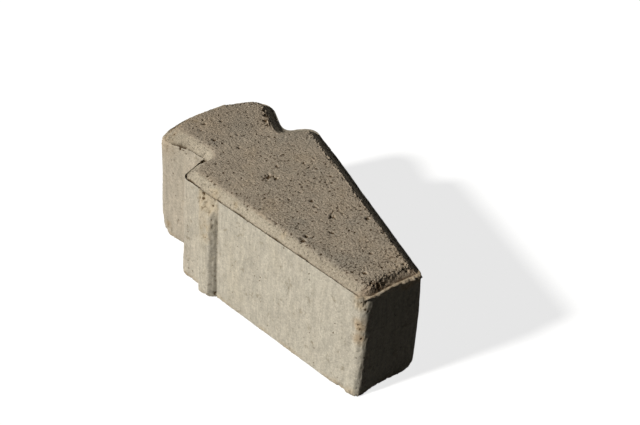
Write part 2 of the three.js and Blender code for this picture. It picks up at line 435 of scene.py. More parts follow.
# %% Where the fin and groove have gone, and where the groove has broken open
# centre in the plan, reach, and the share of the fin and groove that is gone
FIN_FADES = [
    ((-43.6, 25.5), 8.5, 0.85),         # above the rib
    ((-20.5, -99.0), 6.5, 0.9),         # at the near narrow corner
    ((-39.5, 86.5), 8.0, 1.0),          # head corner, rubbed round
    ((-40.5, 50.2), 7.5, 0.55),         # in the notch
    ((-31.5, 70.0), 2.2, 0.9),          # short breaks on the head's flank
    ((-28.2, 59.0), 1.8, 0.8),
    ((38.5, 30.3), 12.0, 0.5),
]
# centre in the plan, reach and share of the places where the groove is wide and deep
GROOVE_DEEP = [
    ((-30.8, 55.0), 3.4, 1.5),
    ((-46.8, 46.6), 1.8, 0.25),
    ((-45.6, 41.5), 4.0, 0.4),
    ((-33.6, 75.2), 4.4, 0.5),
    ((-36.0, -2.0), 9.0, 0.2),
    ((-30.5, -30.0), 7.0, 0.3),
    ((-26.5, -52.0), 8.0, 0.3),
]
print("fades:", len(FIN_FADES), "deep places:", len(GROOVE_DEEP))


# %% How much of the fin and groove is left round the rim
def plan_distance(points, centre):
    """Distance from a centre as seen from above."""
    return np.hypot(*(points[:, :2] - centre).T)


FIN_MEAN = 0.85                        # of its full strength
FLANK_LOSS = 0.35                      # less of it on the near flank of the head
CROWN_LOSS = 0.7                       # share that is gone along the crown
FAR_LOSS = 0.8                         # and along the far side
FIN_MOST = 1.3


def fin_strength(points):
    """How much of the fin and groove is left round the rim."""
    left = FIN_MEAN + 0.45 * flat_noise(points, 7, 51) + 0.42 * flat_noise(points, 1.9, 52)
    flank = smooth_step(57, 59, points[:, 1]) * smooth_step(72, 70, points[:, 1])
    left -= FLANK_LOSS * flank * smooth_step(-20, -25, points[:, 0])
    for centre, reach, share in FIN_FADES:
        left *= 1 - share * smooth_step(1.0, 0.5, plan_distance(points, centre) / reach)
    left *= 1 - CROWN_LOSS * smooth_step(84, 90, points[:, 1])
    left *= 1 - FAR_LOSS * smooth_step(12, 20, points[:, 0])
    return np.clip(left, 0, FIN_MOST)


def groove_depth(points):
    """Extra width and depth of the groove; 0 where the groove is fine."""
    deep = np.zeros(len(points))
    for centre, reach, share in GROOVE_DEEP:
        near = smooth_step(1.0, 0.35, plan_distance(points, centre) / reach)
        deep = np.maximum(deep, share * near)
    return deep * np.clip(0.95 + 0.5 * flat_noise(points, 1.6, 54), 0, 1.2)


tip = np.array([[-20.0, -99.0]])
print("fin left at the near narrow corner:", fin_strength(tip).round(2))
print("groove broken open there:", groove_depth(tip).round(2))

# %% [markdown]
# ## Chamfer
# The press plate leaves a sloping band round the face, and a soft rounding where the band
# turns into it. The plate's own outline isn't the mould's, so the band changes its width
# from place to place. Offsetting one outline would give an even band, so each ring is
# matched to the ring outside it instead, column by column.

# %% Foot, edge and flat rings, each matched to the ring outside it
MEAN_REACH = 4                         # columns to each side in a running mean
FINE_SHARE = 5                         # points of a fine outline for every column


def round_mean(values, lap=0):
    """Running mean round a closed ring, whose values gain one lap at the seam."""
    n = MEAN_REACH
    padded = np.concatenate([values[-n:] - lap, values, values[:n] + lap])
    return np.convolve(padded, np.ones(2 * n + 1) / (2 * n + 1), "valid")


def matched(outer, plan):
    """Points of a plan's own outline that lie nearest to the outer ring's points."""
    facets, cuts = ring_cuts(plan, COLUMN_STEP / FINE_SHARE, False)
    fine = ring(plan, plan["at"], facets, cuts)
    gaps = ((outer[:, None, :] - fine[None, :, :]) ** 2).sum(2)
    nearest = gaps.argmin(1)
    turns = np.round((nearest - np.roll(nearest, 1)) / len(fine))
    turns[0] = 0
    steady = np.maximum.accumulate(nearest - np.cumsum(turns) * len(fine))
    places = round_mean(steady, len(fine))
    low = np.floor(places).astype(int)
    t = (places - low)[:, None]
    return fine[low % len(fine)] * (1 - t) + fine[(low + 1) % len(fine)] * t


fin_foot = wall_rows[-1][1]
tangent = np.roll(fin_foot, -1, 0) - np.roll(fin_foot, 1, 0)
column_out = np.column_stack([tangent[:, 1], -tangent[:, 0]])
column_out /= np.linalg.norm(column_out, axis=1)[:, None]
foot = matched(fin_foot, FOOT)
room = ((fin_foot - foot) * column_out).sum(1)
push = round_mean(np.maximum(GROOVE_GAP - room, 0))
foot -= column_out * np.maximum(push, GROOVE_GAP - room)[:, None]
rim_strength = fin_strength(foot - PLAN_CENTRE)
rim_deep = groove_depth(foot - PLAN_CENTRE)
foot -= column_out * (GROOVE_WIDER * rim_deep)[:, None]
edge = matched(foot, EDGE)
flat = matched(edge, FLAT)
print("largest push on the chamfer's foot:", round(push.max(), 2), "mm")

# %% Rings of the chamfer and of the rounding above it
SMALL_ROUND = 0.45                     # share of the rounding left on the sheltered side
ROUND_ROWS = 9
SLOPE_ROWS = 6
END_SHELTER = 0.7                      # how sheltered the narrow end is, of 1
sheltered = smooth_step(0.5, 0.85, column_out[:, 0])
sheltered = np.maximum(sheltered, END_SHELTER * smooth_step(-0.5, -0.9, column_out[:, 1]))
share = 1 - (1 - SMALL_ROUND) * sheltered
share *= 1 + 0.18 * flat_noise(edge - PLAN_CENTRE, 5.0, 21)
after = edge + (flat - edge) * share[:, None]
slope_length = np.hypot(np.linalg.norm(edge - foot, axis=1), THICKNESS - RIM_Z)
start = 1 - ROUND_REACH * share / slope_length

top_rows = []
for part in range(SLOPE_ROWS + 1):
    t = (start * part / SLOPE_ROWS)[:, None]
    z = RIM_Z + (THICKNESS - RIM_Z) * t[:, 0]
    top_rows.append((z, foot * (1 - t) + edge * t))
before = top_rows[-1]
for part in range(1, ROUND_ROWS + 1):
    t = part / ROUND_ROWS
    z = before[0] * (1 - t) ** 2 + THICKNESS * (2 * t * (1 - t) + t ** 2)
    top_rows.append((z, before[1] * (1 - t) ** 2 + edge * 2 * t * (1 - t) + after * t ** 2))
print("rows of the pressed top:", len(top_rows))

# %% [markdown]
# ## One closed mesh
# The rings become a band of quads. The walking face is filled with a triangle net that
# is even enough to take sand relief, and the bed with a coarse one. A grid would leave
# stair steps along the slanted sides, so a Delaunay net is used, which meets the last
# ring point for point.


# %% Points for a net of triangles
NET_SHAKE = 0.18                       # shares of the spacing
NET_CLEAR = 0.62


def net_points(outline, spacing, seed):
    """Hexagonal points inside a closed outline, shaken a little so no rows show."""
    low = outline.min(0)
    high = outline.max(0)
    row_step = spacing * math.sqrt(3) / 2
    rows = np.arange(low[1], high[1], row_step)
    points = []
    for k, y in enumerate(rows):
        x = np.arange(low[0] + (k % 2) * spacing / 2, high[0], spacing)
        points.append(np.column_stack([x, np.full(len(x), y)]))
    points = np.vstack(points)
    shake = np.random.default_rng(seed).uniform(-NET_SHAKE, NET_SHAKE, points.shape)
    points += shake * spacing
    inside = np.zeros(len(points), bool)
    clear = np.ones(len(points), bool)
    for a, b in zip(outline, np.roll(outline, -1, 0)):
        crosses = (a[1] > points[:, 1]) != (b[1] > points[:, 1])
        rise = b[1] - a[1] if b[1] != a[1] else 1e-9
        inside ^= crosses & (points[:, 0] < (b[0] - a[0]) * (points[:, 1] - a[1]) / rise + a[0])
        clear &= ((points - a) ** 2).sum(1) > (NET_CLEAR * spacing) ** 2
    return points[inside & clear]


square = np.array([[0, 0], [10, 0], [10, 10], [0, 10]])
print("points in a 10 mm square:", len(net_points(square, 1, 1)))


# %% Join them into triangles
def fill_ring(outline, spacing, seed):
    """Inner points and triangles that close an outline; outline points come first."""
    inner = net_points(outline, spacing, seed)
    points = np.vstack([outline, inner])
    count = len(outline)
    edges = [(i, (i + 1) % count) for i in range(count)]
    corners = [Vector(p) for p in points.tolist()]
    verts, _, faces, origins, _, _ = delaunay_2d_cdt(corners, edges, [], 1, 1e-6)
    if len(verts) != len(points):
        raise ValueError("the net gained or lost points")
    back = [o[0] for o in origins]
    return inner, [tuple(back[i] for i in face) for face in faces]


FACE_STEP = 0.62
BED_STEP = 3.2
face_inner, face_tris = fill_ring(top_rows[-1][1], FACE_STEP, 11)
print("walking face:", len(face_inner), "points,", len(face_tris), "triangles")


# %% Put rings and nets together
def loft_faces(row_count, columns):
    """Quads between rings that lie one above the other."""
    i = np.arange(columns)
    j = (i + 1) % columns
    quads = []
    for k in range(row_count - 1):
        low = k * columns
        high = low + columns
        quads.append(np.column_stack([low + i, low + j, high + j, high + i]))
    return np.vstack(quads)


bed_inner, bed_tris = fill_ring(wall_rows[0][1], BED_STEP, 12)

groove_ring = (wall_rows[-1][1] + top_rows[0][1]) / 2
WALL_ROWS = len(wall_rows)
GROOVE_ROW = WALL_ROWS
rows = [(z, points) for z, points, _ in wall_rows] + [(RIM_Z, groove_ring)] + top_rows
band = np.vstack([np.column_stack([p - PLAN_CENTRE, np.full(len(p), z)]) for z, p in rows])
fin_lift = np.repeat([lift for _, _, lift in wall_rows] + [0] * (len(top_rows) + 1), COLUMNS)
quads = loft_faces(len(rows), COLUMNS)
face_start = len(band)
bed_start = face_start + len(face_inner)
place = np.vstack([
    band,
    np.column_stack([face_inner - PLAN_CENTRE, np.full(len(face_inner), THICKNESS)]),
    np.column_stack([bed_inner - PLAN_CENTRE, np.zeros(len(bed_inner))]),
])
last_row = (len(rows) - 1) * COLUMNS


def join_net(tris, ring_start, inner_start):
    """Turns a net's own numbers into the whole mesh's numbers."""
    def number(i):
        return ring_start + i if i < COLUMNS else inner_start + i - COLUMNS
    return [tuple(number(i) for i in tri) for tri in tris]


face_faces = join_net(face_tris, last_row, face_start)
bed_faces = [tri[::-1] for tri in join_net(bed_tris, 0, bed_start)]
print("points:", len(place), "triangles:", 2 * len(quads) + len(face_faces) + len(bed_faces))

# %% [markdown]
# ## Wear and hand-made shape on the walls
# No such block leaves the mould perfect: the spacer ribs run out in a rough slant, the
# fin breaks away in places, corners crumble and lower edges chip. These are small moves
# of the rings' points along their own outward direction. They could be sculpted by hand,
# but a few named spots keep them repeatable.

# %% Directions and places of the band's points
ROWS = len(rows)
row_of = np.repeat(np.arange(ROWS), COLUMNS)
out_of = np.zeros((len(place), 3))
out_of[:face_start, :2] = np.tile(column_out, (ROWS, 1))
is_wall = np.zeros(len(place), bool)
is_wall[:face_start] = row_of < WALL_ROWS
height = place[:, 2].copy()


def along_side(points, side):
    """Run along a long side from its narrow corner, and the distance off its line."""
    a, b = np.array(MOULD["right"])[:2] * (side, 1) - PLAN_CENTRE
    d = unit(b - a)
    out = np.array([d[1], -d[0]]) * side
    return (points[:, :2] - a) @ d, (points[:, :2] - a) @ out


print("wall points:", is_wall.sum())

# %% Shape of a spacer rib
RIB_LOW_END = (59.0, 69.0)             # where the run-out starts and ends, near side
RIB_HIGH_END = (66.0, 73.5)            # and on the side towards the shoulder
RIB_FLANK = math.tan(math.radians(45))  # slope of the rib's flanks
RIB_WORN = 0.5                         # how much lower than its full depth it stands
RIB_TOP_DRAFT = 0.7                    # and how much lower still at the rim
RIB_ROUND = 0.012                      # how fast its back falls to both sides
RIB_BLEND = 2.4                        # height over which flank and back blend
RIB_SINK = 4.9                         # how far its run-out sinks into the wall
RIB_RAGGED = 1.6                       # how ragged the run-out is
RIB_CREASE = 0.5                       # depth of the crease at the rib's foot
RIB_LEAN = 1.2                         # the near rib leans towards the shoulder by this


def rib_height(run, z, points):
    """Rib with slanted flanks and a slanted, rough run-out; 0 away from the rib."""
    flank = (RIB_WIDTH / 2 - np.abs(run)) * RIB_FLANK
    top = RIB_DEPTH - RIB_WORN - RIB_TOP_DRAFT * z / RIM_Z - RIB_ROUND * run ** 2
    blend = np.clip(0.5 + (flank - top) / RIB_BLEND, 0, 1)
    body = flank + (top - flank) * blend - 0.6 * blend * (1 - blend)
    slant = smooth_step(-6, 7, run)
    rough = RIB_RAGGED * lattice_noise(points, 3.0, 31)
    start = RIB_LOW_END[0] + (RIB_HIGH_END[0] - RIB_LOW_END[0]) * slant + rough
    end = RIB_LOW_END[1] + (RIB_HIGH_END[1] - RIB_LOW_END[1]) * slant + rough
    t = np.clip((z - start) / (end - start), 0, 1)
    sink = RIB_SINK * (1 - np.cos(t * math.pi / 2))
    skin = 0.22 * lattice_noise(points, 1.7, 32) + 0.3 * lattice_noise(points, 5.0, 33)
    standing = np.maximum(body - sink + skin * smooth_step(0, 1.5, body), 0)
    crease = RIB_CREASE * smooth_step(0.7, 0.0, np.abs(run + RIB_WIDTH / 2 + 0.35))
    return standing - crease * smooth_step(69, 65, z)


middle = rib_height(np.zeros(1), np.full(1, RIM_Z / 2), np.zeros((1, 3)))
print("rib stands out at mid height by", middle.round(2), "mm")

# %% Put a rib on each long wall
move = np.zeros(len(place))
rib_top = np.zeros(len(place))
rib_crease = np.zeros(len(place))
rib_flank = np.zeros(len(place))
for side in (-1, 1):
    run, off = along_side(place, side)
    run = run - RIB_AT - RIB_LEAN * (height / RIM_Z) * (side < 0)
    near = is_wall & (np.abs(run) < RIB_WIDTH / 2 + 2) & (np.abs(off) < 6)
    lift = rib_height(run[near], height[near], place[near])
    move[near] += lift
    rib_top[near] = smooth_step(9.5, 7.5, np.abs(run[near]))
    rib_top[near] *= np.maximum(smooth_step(58, 68, height[near]),
                                0.6 * smooth_step(30, 60, height[near]) * (run[near] > -1))
    # the crease at the rib's foot is painted dark further on, as shade in it
    rib_crease[near] = 0.3 * smooth_step(1.3, 0.3, np.abs(run[near] + RIB_WIDTH / 2 + 0.1))
    rib_crease[near] *= smooth_step(68, 65, height[near])
    rib_flank[near] = smooth_step(4.8, 3.2, np.abs(run[near] + 5.5))
print("rib stands out by", round(move.max(), 2), "mm")

# %% Corners that are worn or chipped
# centre, reach, how deep the concrete is gone, in millimetres, and the reach upward
WORN_SPOTS = [
    ((-42.3, 89.2, 0.0), 9.0, 3.2, 17.0),   # head corner at the bed
    ((-24.6, -91.0, -1.0), 5.0, 2.6, 5.0),   # long edge near the narrow end
    ((-23.0, -98.7, 0.0), 4.5, 0.7, 4.5),    # narrow corner at the bed
    ((22.0, -99.7, -1.0), 8.0, 2.2, 8.0),    # the other narrow corner
    ((-21.0, -99.7, 46.0), 5.0, 0.5, 9.0),   # pitted patch on the upright edge
    ((-38.0, 75.5, 74.5), 6.5, 1.2, 5.0),    # dent under the head's edge
    ((-46.5, 20.0, 0.0), 5.0, 0.8, 6.0),     # chip at the rib's foot
    ((-15.6, -100.8, 11.0), 1.7, -1.0, 1.7),  # grain that stands out of the upright edge
]
ragged = 0.75 + 0.45 * lattice_noise(place, 2.4, 41)
for centre, reach, depth, tall in WORN_SPOTS:
    stretch = np.array([1.0, 1.0, reach / tall])
    spot = bump_at(place * stretch, np.array(centre) * stretch, reach) * is_wall
    move -= depth * spot * ragged
print("worn spots:", len(WORN_SPOTS))

# %% Head and narrow end
HEAD_LEAN = 1.4                        # the head's flank stands straighter than the rest
END_BOW = 1.2                          # the narrow end's upright edges bow to one side
LIP_DEPTH = 1.1                        # the narrow end's upper lip stands proud
LIP_LOW = 72.2                         # height at which it starts
LIP_TALL = 7.0                         # how much lower it starts at its far end
LIP_FAR = 0.8                          # share by which it stands out more there
at_head = smooth_step(68, 84, place[:, 1]) * smooth_step(0, -20, place[:, 0])
move -= HEAD_LEAN * (1 - height / RIM_Z) * at_head * is_wall
near_end = smooth_step(-72, -98, place[:, 1])
bow = END_BOW * 4 * (height / RIM_Z) * (1 - height / RIM_Z) * near_end
far_lip = smooth_step(6, 11, place[:, 0])
end_face = smooth_step(-0.75, -0.95, out_of[:, 1]) * is_wall * (place[:, 1] < -90)
lip_low = LIP_LOW - LIP_TALL * far_lip
lip_part = np.clip((height - lip_low) / (RIM_Z - lip_low), 0, 1)
lip_part = np.sqrt(np.clip(1 - (1 - lip_part) ** 2, 0, 1)) * lip_part
lip_by_row = np.zeros(ROWS)
lip_by_row[:WALL_ROWS - FIN_ROWS] = 1.0
lip_by_row[WALL_ROWS - FIN_ROWS:WALL_ROWS] = np.linspace(1, 0, FIN_ROWS)
lip_part[:face_start] *= np.repeat(lip_by_row, COLUMNS)
lip_rough = 0.85 + 0.5 * lattice_noise(place, 2.2, 44) + 0.35 * lattice_noise(place, 0.9, 45)
lip = LIP_DEPTH * (1 + LIP_FAR * far_lip) * end_face * lip_part * lip_rough
print("lip stands out by", round(lip.max(), 2), "mm")

# %% Slow waves of the walls, dents in the rim, and the move itself
# centre in the plan, reach and depth of places where the rim is pressed inward
RIM_DENTS = [
    ((-32.5, 68.5), 9.0, 1.3),
    ((-18.0, -101.0), 7.0, 1.5),
]
SIDE_BOW = 0.4                         # the far long side swells a little at its middle
LIP_DROOP = 0.7                        # the lip's upper edge hangs down by this
waves = 0.22 * lattice_noise(place, 24, 42) + 0.07 * lattice_noise(place, 6, 43)
move += lip + is_wall * waves * smooth_step(0, 4, height)
by_rim = smooth_step(64, 73, height) * smooth_step(79.5, 75.5, height)
for centre, reach, depth in RIM_DENTS:
    move -= depth * by_rim * smooth_step(1.0, 0.1, plan_distance(place, centre) / reach)
place += out_of * move[:, None]
place[:, 0] += bow * smooth_step(RIM_Z + 5, RIM_Z - 2, height)
swell = smooth_step(1.0, 0.0, np.abs(place[:, 1] - 6) / 42) * smooth_step(8, 34, place[:, 0])
place[:, 0] += SIDE_BOW * swell
place[:, 2] -= LIP_DROOP * end_face * lip_part * smooth_step(RIM_Z - 2.4, RIM_Z - 0.5, height)
print("walls moved by", round(move.min(), 2), "to", round(move.max(), 2), "mm")

# %% Rub the rim's outer edge down
RUB_DEPTH = 2.0
RUB_LOW = 7.0                          # the rubbing reaches this far below the rim
RUB_BY_ROW = (1.0, 0.8, 0.62, 0.46, 0.33, 0.15, 0.0)  # from the fin's foot inward
FAR_RUB = 0.28                         # share of the rubbing along the far side
# centre in the plan, reach and share of two more rubbed places
RUBBED = [
    ((31.0, 56.0), 13.0, 0.7),
    ((-33.8, 73.8), 8.0, 0.6),
]
fin_place = fin_foot - PLAN_CENTRE
head_corner = smooth_step(1.0, 0.45, plan_distance(fin_place, (-42.0, 86.0)) / 15.0)
rub_of = np.maximum(head_corner, FAR_RUB * smooth_step(0.1, 0.6, column_out[:, 0]))
for centre, reach, amount in RUBBED:
    rub_of = np.maximum(rub_of, amount * bump_at(fin_place, centre, reach))
rub_of *= 1 + 0.3 * flat_noise(fin_place, 3.0, 55)
rub_rows = np.zeros(ROWS)
rub_rows[WALL_ROWS - FIN_ROWS:GROOVE_ROW + 2] = RUB_BY_ROW
rubbed = np.repeat(rub_rows, COLUMNS)
below = row_of < WALL_ROWS - FIN_ROWS
rubbed[below] = smooth_step(RIM_Z - RUB_LOW, RIM_Z, height[:face_start][below])
place[:face_start, 2] -= RUB_DEPTH * rubbed * np.tile(rub_of, ROWS)
print("rubbed columns:", int((rub_of > 0.1).sum()))

# %% Raise the fin and sink the groove
# row counted from the groove's, share of the fine groove, and of its deep places
GROOVE_ROWS = [
    (0, 0.9, 0.9),
    (1, 0.5, 0.9),
    (2, 0.0, 0.2),
]
strength = np.zeros(len(place))
deep = np.zeros(len(place))
strength[:face_start] = np.tile(rim_strength, ROWS)
deep[:face_start] = np.tile(rim_deep, ROWS)
place[:face_start, 2] += fin_lift * FIN_HEIGHT * strength[:face_start]
rows_here = np.full(len(place), -1)
rows_here[:face_start] = row_of
for row, depth, more in GROOVE_ROWS:
    here = rows_here == GROOVE_ROW + row
    place[here, 2] -= GROOVE_DEPTH * depth * strength[here] + more * deep[here]
print("fin is", round(strength[:face_start].min(), 2), "to", round(strength.max(), 2), "of full")

# %% [markdown]
# ## Large pits
# Where the mix was too dry, a few grains tore out and left ragged pits in the walking
# face and near its far edge. Random scattering would put them anywhere, so these few are
# listed one by one, and the small voids are left to the node tree further on.

# %% Pits in the walking face, listed one by one
# x, y, radius and depth in millimetres
FACE_PITS = [
    (-8.3, 15.6, 1.9, 1.5),
    (-4.0, 12.8, 1.5, 1.3),
    (3.5, -35.7, 1.9, 1.4),
    (-23.5, -44.7, 1.7, 1.2),
    (-19.5, -42.2, 1.6, 1.1),
    (-5.0, -47.7, 1.2, 0.9),
    (-15.5, 65.4, 1.3, 1.1),
    (-12.0, 83.3, 1.4, 1.0),
    (-18.0, 77.8, 1.2, 0.9),
    (-38.7, 26.6, 0.9, 0.7),
    (-33.1, -0.9, 0.8, 0.5),
    (-27.7, -7.8, 1.0, 0.6),
    (-28.1, -23.9, 0.9, 0.6),
    (-11.2, -94.4, 1.9, 0.6),
    (-7.6, -95.8, 1.2, 0.5),
    (-4.6, -94.6, 1.2, 0.45),
    (0.6, -93.4, 1.6, 0.5),
    (7.4, -92.0, 1.1, 0.4),
    (20.5, -47.7, 1.3, 1.0),
    (-9.5, -85.7, 1.3, 1.0),
    (2.0, -17.2, 1.2, 0.9),
    (0.5, -22.7, 1.3, 0.9),
    (0.5, -6.7, 1.0, 0.8),
    (25.5, -2.7, 1.2, 0.9),
    (22.0, -8.7, 1.1, 0.8),
    (3.0, 21.8, 1.0, 0.8),
    (18.5, 16.3, 1.0, 0.8),
    (22.5, 7.8, 1.0, 0.8),
    (27.2, 71.3, 2.0, 1.2),
    (23.4, 66.8, 1.7, 1.1),
    (29.2, 76.4, 1.5, 0.9),
    (22.4, 61.6, 1.2, 0.8),
]
# pit marks where the face is painted dark as shade inside the pits; sink is their depth
pit = np.zeros(len(place))
sink = np.zeros(len(place))
is_top = ~is_wall
is_top[bed_start:] = False
top_points = place[is_top]
ragged = 1 + 0.75 * lattice_noise(top_points, 1.5, 61) + 0.4 * lattice_noise(top_points, 0.8, 62)
for x, y, radius, depth in FACE_PITS:
    far = np.hypot(top_points[:, 0] - x, top_points[:, 1] - y) * ragged / radius
    bowl = smooth_step(1.05, 0.5, far)
    pit[is_top] = np.maximum(pit[is_top], bowl)
    sink[is_top] = np.maximum(sink[is_top], bowl * depth)
# a little less painted shade in the pits near the narrow end
pit *= 1 - 0.3 * smooth_step(-88, -91, place[:, 1])
place[:, 2] -= sink
print("pits by hand:", len(FACE_PITS), "deepest", round(sink.max(), 2), "mm")

# %% The crown's upper edge is ragged
crown_edge = smooth_step(88, 94, place[:, 1]) * smooth_step(76, 78.5, height)
place[:, 2] += crown_edge * (0.5 * lattice_noise(place, 3.4, 78) - 0.1)
print("ragged points of the crown:", int((crown_edge > 0.5).sum()))

# %% [markdown]
# ## Masks
# Sand, soil and grit lie where the stone was pressed, rubbed or left in the dirt, and
# painted shade lies in the groove, the rib's crease and the breaks. They could be painted,
# but each follows from a place or from the shape made above, so they are worked out here
# for every point. Both the relief and the finishes read them as attributes of the mesh.

# %% Helpers for ragged masks
def patchy(middle, swing, size, seed, most=1.0):
    """Noise over the stone, from 0 to most."""
    return np.clip(middle + swing * lattice_noise(place, size, seed), 0, most)


def blots(spots, middle, swing, size, seed):
    """Round spots with ragged edges, from 0 to 1."""
    ragged = middle + swing * lattice_noise(place, size, seed)
    total = np.zeros(len(place))
    for centre, reach in spots:
        total = np.maximum(total, np.clip(bump_at(place, centre, reach) * ragged, 0, 1))
    return total


print("patchy share:", round(float(patchy(0.5, 0.5, 9.0, 79).mean()), 3))

# %% Sandy places
chamfer = np.zeros(len(place))
chamfer[is_top] = smooth_step(THICKNESS - 0.2, THICKNESS - 1.4, height[is_top])
crown = smooth_step(80, 92, place[:, 1])
head_edge = smooth_step(THICKNESS - 0.02, THICKNESS - 0.8, height) * smooth_step(66, 73, height)
# centre, reach: sandy, tan places where the skin of cement is gone
SANDY_SPOTS = [
    ((-46.0, 27.3, 68.0), 9.0),
    ((-42.0, 22.3, 74.0), 9.0),
    ((-47.9, 21.5, 56.0), 7.0),
    ((-48.6, 21.5, 46.0), 6.0),
    ((-37.0, 5.3, 77.0), 4.0),
    ((-28.0, -33.2, 77.0), 4.0),
    ((-22.0, -95.7, 73.0), 6.0),
    ((-24.5, -87.7, 1.0), 6.0),
    ((-22.5, -97.7, 2.0), 6.0),
    ((-21.0, -99.2, 50.0), 4.5),
    ((20.0, -98.2, 73.0), 6.0),
    ((-40.5, 84.0, 9.0), 5.0),
    ((-16.5, 88.3, 80.0), 4.0),
    ((-20.5, -97.5, 70.0), 7.5),
    ((2.5, 94.3, 79.0), 3.5),
]
HEAD_TAN = ((-43.5, 86.0, 72.0), 17.0)  # a wide, fainter one at the head's corner
sandy = blots(SANDY_SPOTS, 1.1, 0.9, 2.0, 71)
bed_band = smooth_step(5.0, 0.5, height) * patchy(0.35, 0.9, 9.0, 79, 0.8)
sandy = np.maximum(sandy, bed_band * is_wall)
sandy = np.maximum(sandy, 0.7 * blots([HEAD_TAN], 0.75, 0.35, 4.0, 75))
sandy = np.maximum(sandy, rib_top * patchy(0.75, 0.6, 2.5, 72))
print("sandy share of the points:", round(float((sandy > 0.3).mean()), 3))

# %% Soil at the narrow end, and brown chips along the crown
# centre, reach
SOIL_SPOTS = [
    ((12.0, -101.0, 71.0), 8.0),
    ((-20.5, -99.0, 55.0), 8.0),
    ((-20.5, -99.0, 44.0), 7.0),
]
CHIP_SOIL = 0.9                        # strength of the brown of the crown's chips
LIP_SOIL = 0.55                        # and of the soil on the lip
soil = smooth_step(-92, -96, place[:, 1]) * smooth_step(72, 75, place[:, 2])
soil *= smooth_step(THICKNESS + 0.1, THICKNESS - 0.7, place[:, 2])
soil *= patchy(0.75, 0.5, 4.0, 73)
soil = np.maximum(soil, blots(SOIL_SPOTS, 1.3, 0.9, 2.0, 74))
brown_chips = head_edge * crown * patchy(0.35, 1.1, 2.6, 77)
soil = np.maximum(soil, CHIP_SOIL * brown_chips)
soil = np.maximum(soil, LIP_SOIL * end_face * lip_part)
print("soiled share of the points:", round(float((soil > 0.3).mean()), 3))

# %% How coarse the relief is
WALL_GRIT = 0.035
FACE_GRIT = 0.14
HEAD_FINER = 0.035                     # the face is finer on the head
BED_GRIT = 0.10
grit = np.where(is_wall, WALL_GRIT, FACE_GRIT - HEAD_FINER * smooth_step(60, 80, place[:, 1]))
grit[bed_start:] = BED_GRIT
by_corner = smooth_step(13, 4, plan_distance(place, (-21.5, -99.0)))
COARSER = [
    (0.20, end_face * lip_part),         # the lip
    (0.17, by_corner * is_wall),         # the near narrow corner
    (0.15, is_wall * rib_flank * smooth_step(5, 45, height)),
    (0.07, chamfer),
    (0.20, head_edge * crown),           # the crown's edge
    (0.28, sandy),
]
for amount, part in COARSER:
    grit = grit + amount * part
FIN_FINER = 0.5                        # the fin keeps this share of the grit
fin_rows = np.zeros(len(place), bool)
fin_rows[:face_start] = (row_of >= WALL_ROWS - FIN_ROWS - 1) & (row_of <= GROOVE_ROW + 1)
grit[fin_rows] *= FIN_FINER
SHELTERED_GRIT = 0.35                  # the sheltered upper edges are the coarsest
upper = smooth_step(76.5, 79, height[:face_start])
grit[:face_start] += SHELTERED_GRIT * np.tile(sheltered, ROWS) * upper
print("grit is", round(grit.min(), 3), "to", round(grit.max(), 3))

# %% Painted shade in the groove, the rib's crease and the breaks beside them
# row counted from the groove's, how dark its painted shade is, and how much darker in the deep
# places
GROOVE_TONES = [
    (-1, 0.6, 0.6),
    (0, 1.0, 1.2),
    (1, 0.9, 1.2),
    (2, 0.05, 0.8),
]
groove = np.zeros(len(place))
for row, tone, more in GROOVE_TONES:
    here = rows_here == GROOVE_ROW + row
    groove[here] = tone * np.clip(strength[here], 0, 1) + more * deep[here]
# the rib's crease gets the same painted shade
groove = np.clip(np.maximum(groove, 0.85 * rib_crease), 0, 1)
# centre, reach: breaks beside the groove, in the rib's run-out and on the upright edge, painted
# dark as shade in them
BREAKS = [
    ((-34.6, 75.0, 73.8), 1.3),
    ((-33.6, 72.6, 73.6), 1.0),
    ((-31.0, 69.9, 74.0), 1.2),
    ((-30.2, 55.4, 74.6), 2.0),
    ((-32.6, 54.4, 74.4), 2.4),
    ((-45.4, 28.4, 74.0), 1.6),
    ((-46.0, 27.4, 70.4), 1.8),
    ((-44.1, 20.1, 69.2), 1.2),
    ((-46.3, 18.0, 60.1), 1.1),
    ((-45.0, 16.5, 3.5), 2.6),
    ((-19.4, -97.4, 70.6), 0.6),
    ((-19.1, -97.7, 68.4), 0.7),
    ((-17.8, -99.3, 66.8), 1.1),
    ((-16.6, -100.0, 65.5), 1.0),
    ((-20.4, -97.2, 54.8), 0.8),
    ((-19.9, -98.4, 52.1), 0.8),
    ((-18.9, -99.0, 44.6), 0.9),
    ((-19.5, -98.7, 42.0), 0.9),
]
groove = np.maximum(groove, blots(BREAKS, 2.6, 2.4, 1.1, 76))
print("dark breaks:", len(BREAKS))

# %% Build the mesh
ZONE_BED, ZONE_WALL, ZONE_TOP = 0, 1, 2
faces = [tuple(q) for q in quads.tolist()] + face_faces + bed_faces
quad_rows = np.repeat(np.arange(ROWS - 1), COLUMNS)
zones = np.concatenate([
    np.where(quad_rows < GROOVE_ROW, ZONE_WALL, ZONE_TOP),
    np.full(len(face_faces), ZONE_TOP),
    np.full(len(bed_faces), ZONE_BED),
])
mesh = bpy.data.meshes.new("stone_blank")
mesh.from_pydata((place * MM).tolist(), [], faces)
mesh.validate()
mesh.polygons.foreach_set("use_smooth", np.ones(len(mesh.polygons), bool))


def write_mask(name, values, domain="POINT", kind="FLOAT"):
    layer = mesh.attributes.new(name, kind, domain)
    layer.data.foreach_set("value", np.asarray(values))


for name, values in {
    "grit": grit,
    "chamfer": chamfer,
    "sandy": sandy,
    "groove": groove,
    "pit": pit,
    "soil": soil,
}.items():
    write_mask(name, values.astype(np.float32))
write_mask("zone", zones.astype(np.int32), "FACE", "INT")
stone = bpy.data.objects.new("stone_body", mesh)
bpy.context.scene.collection.objects.link(stone)
print("faces:", len(mesh.polygons), "zones:", np.bincount(zones).tolist())

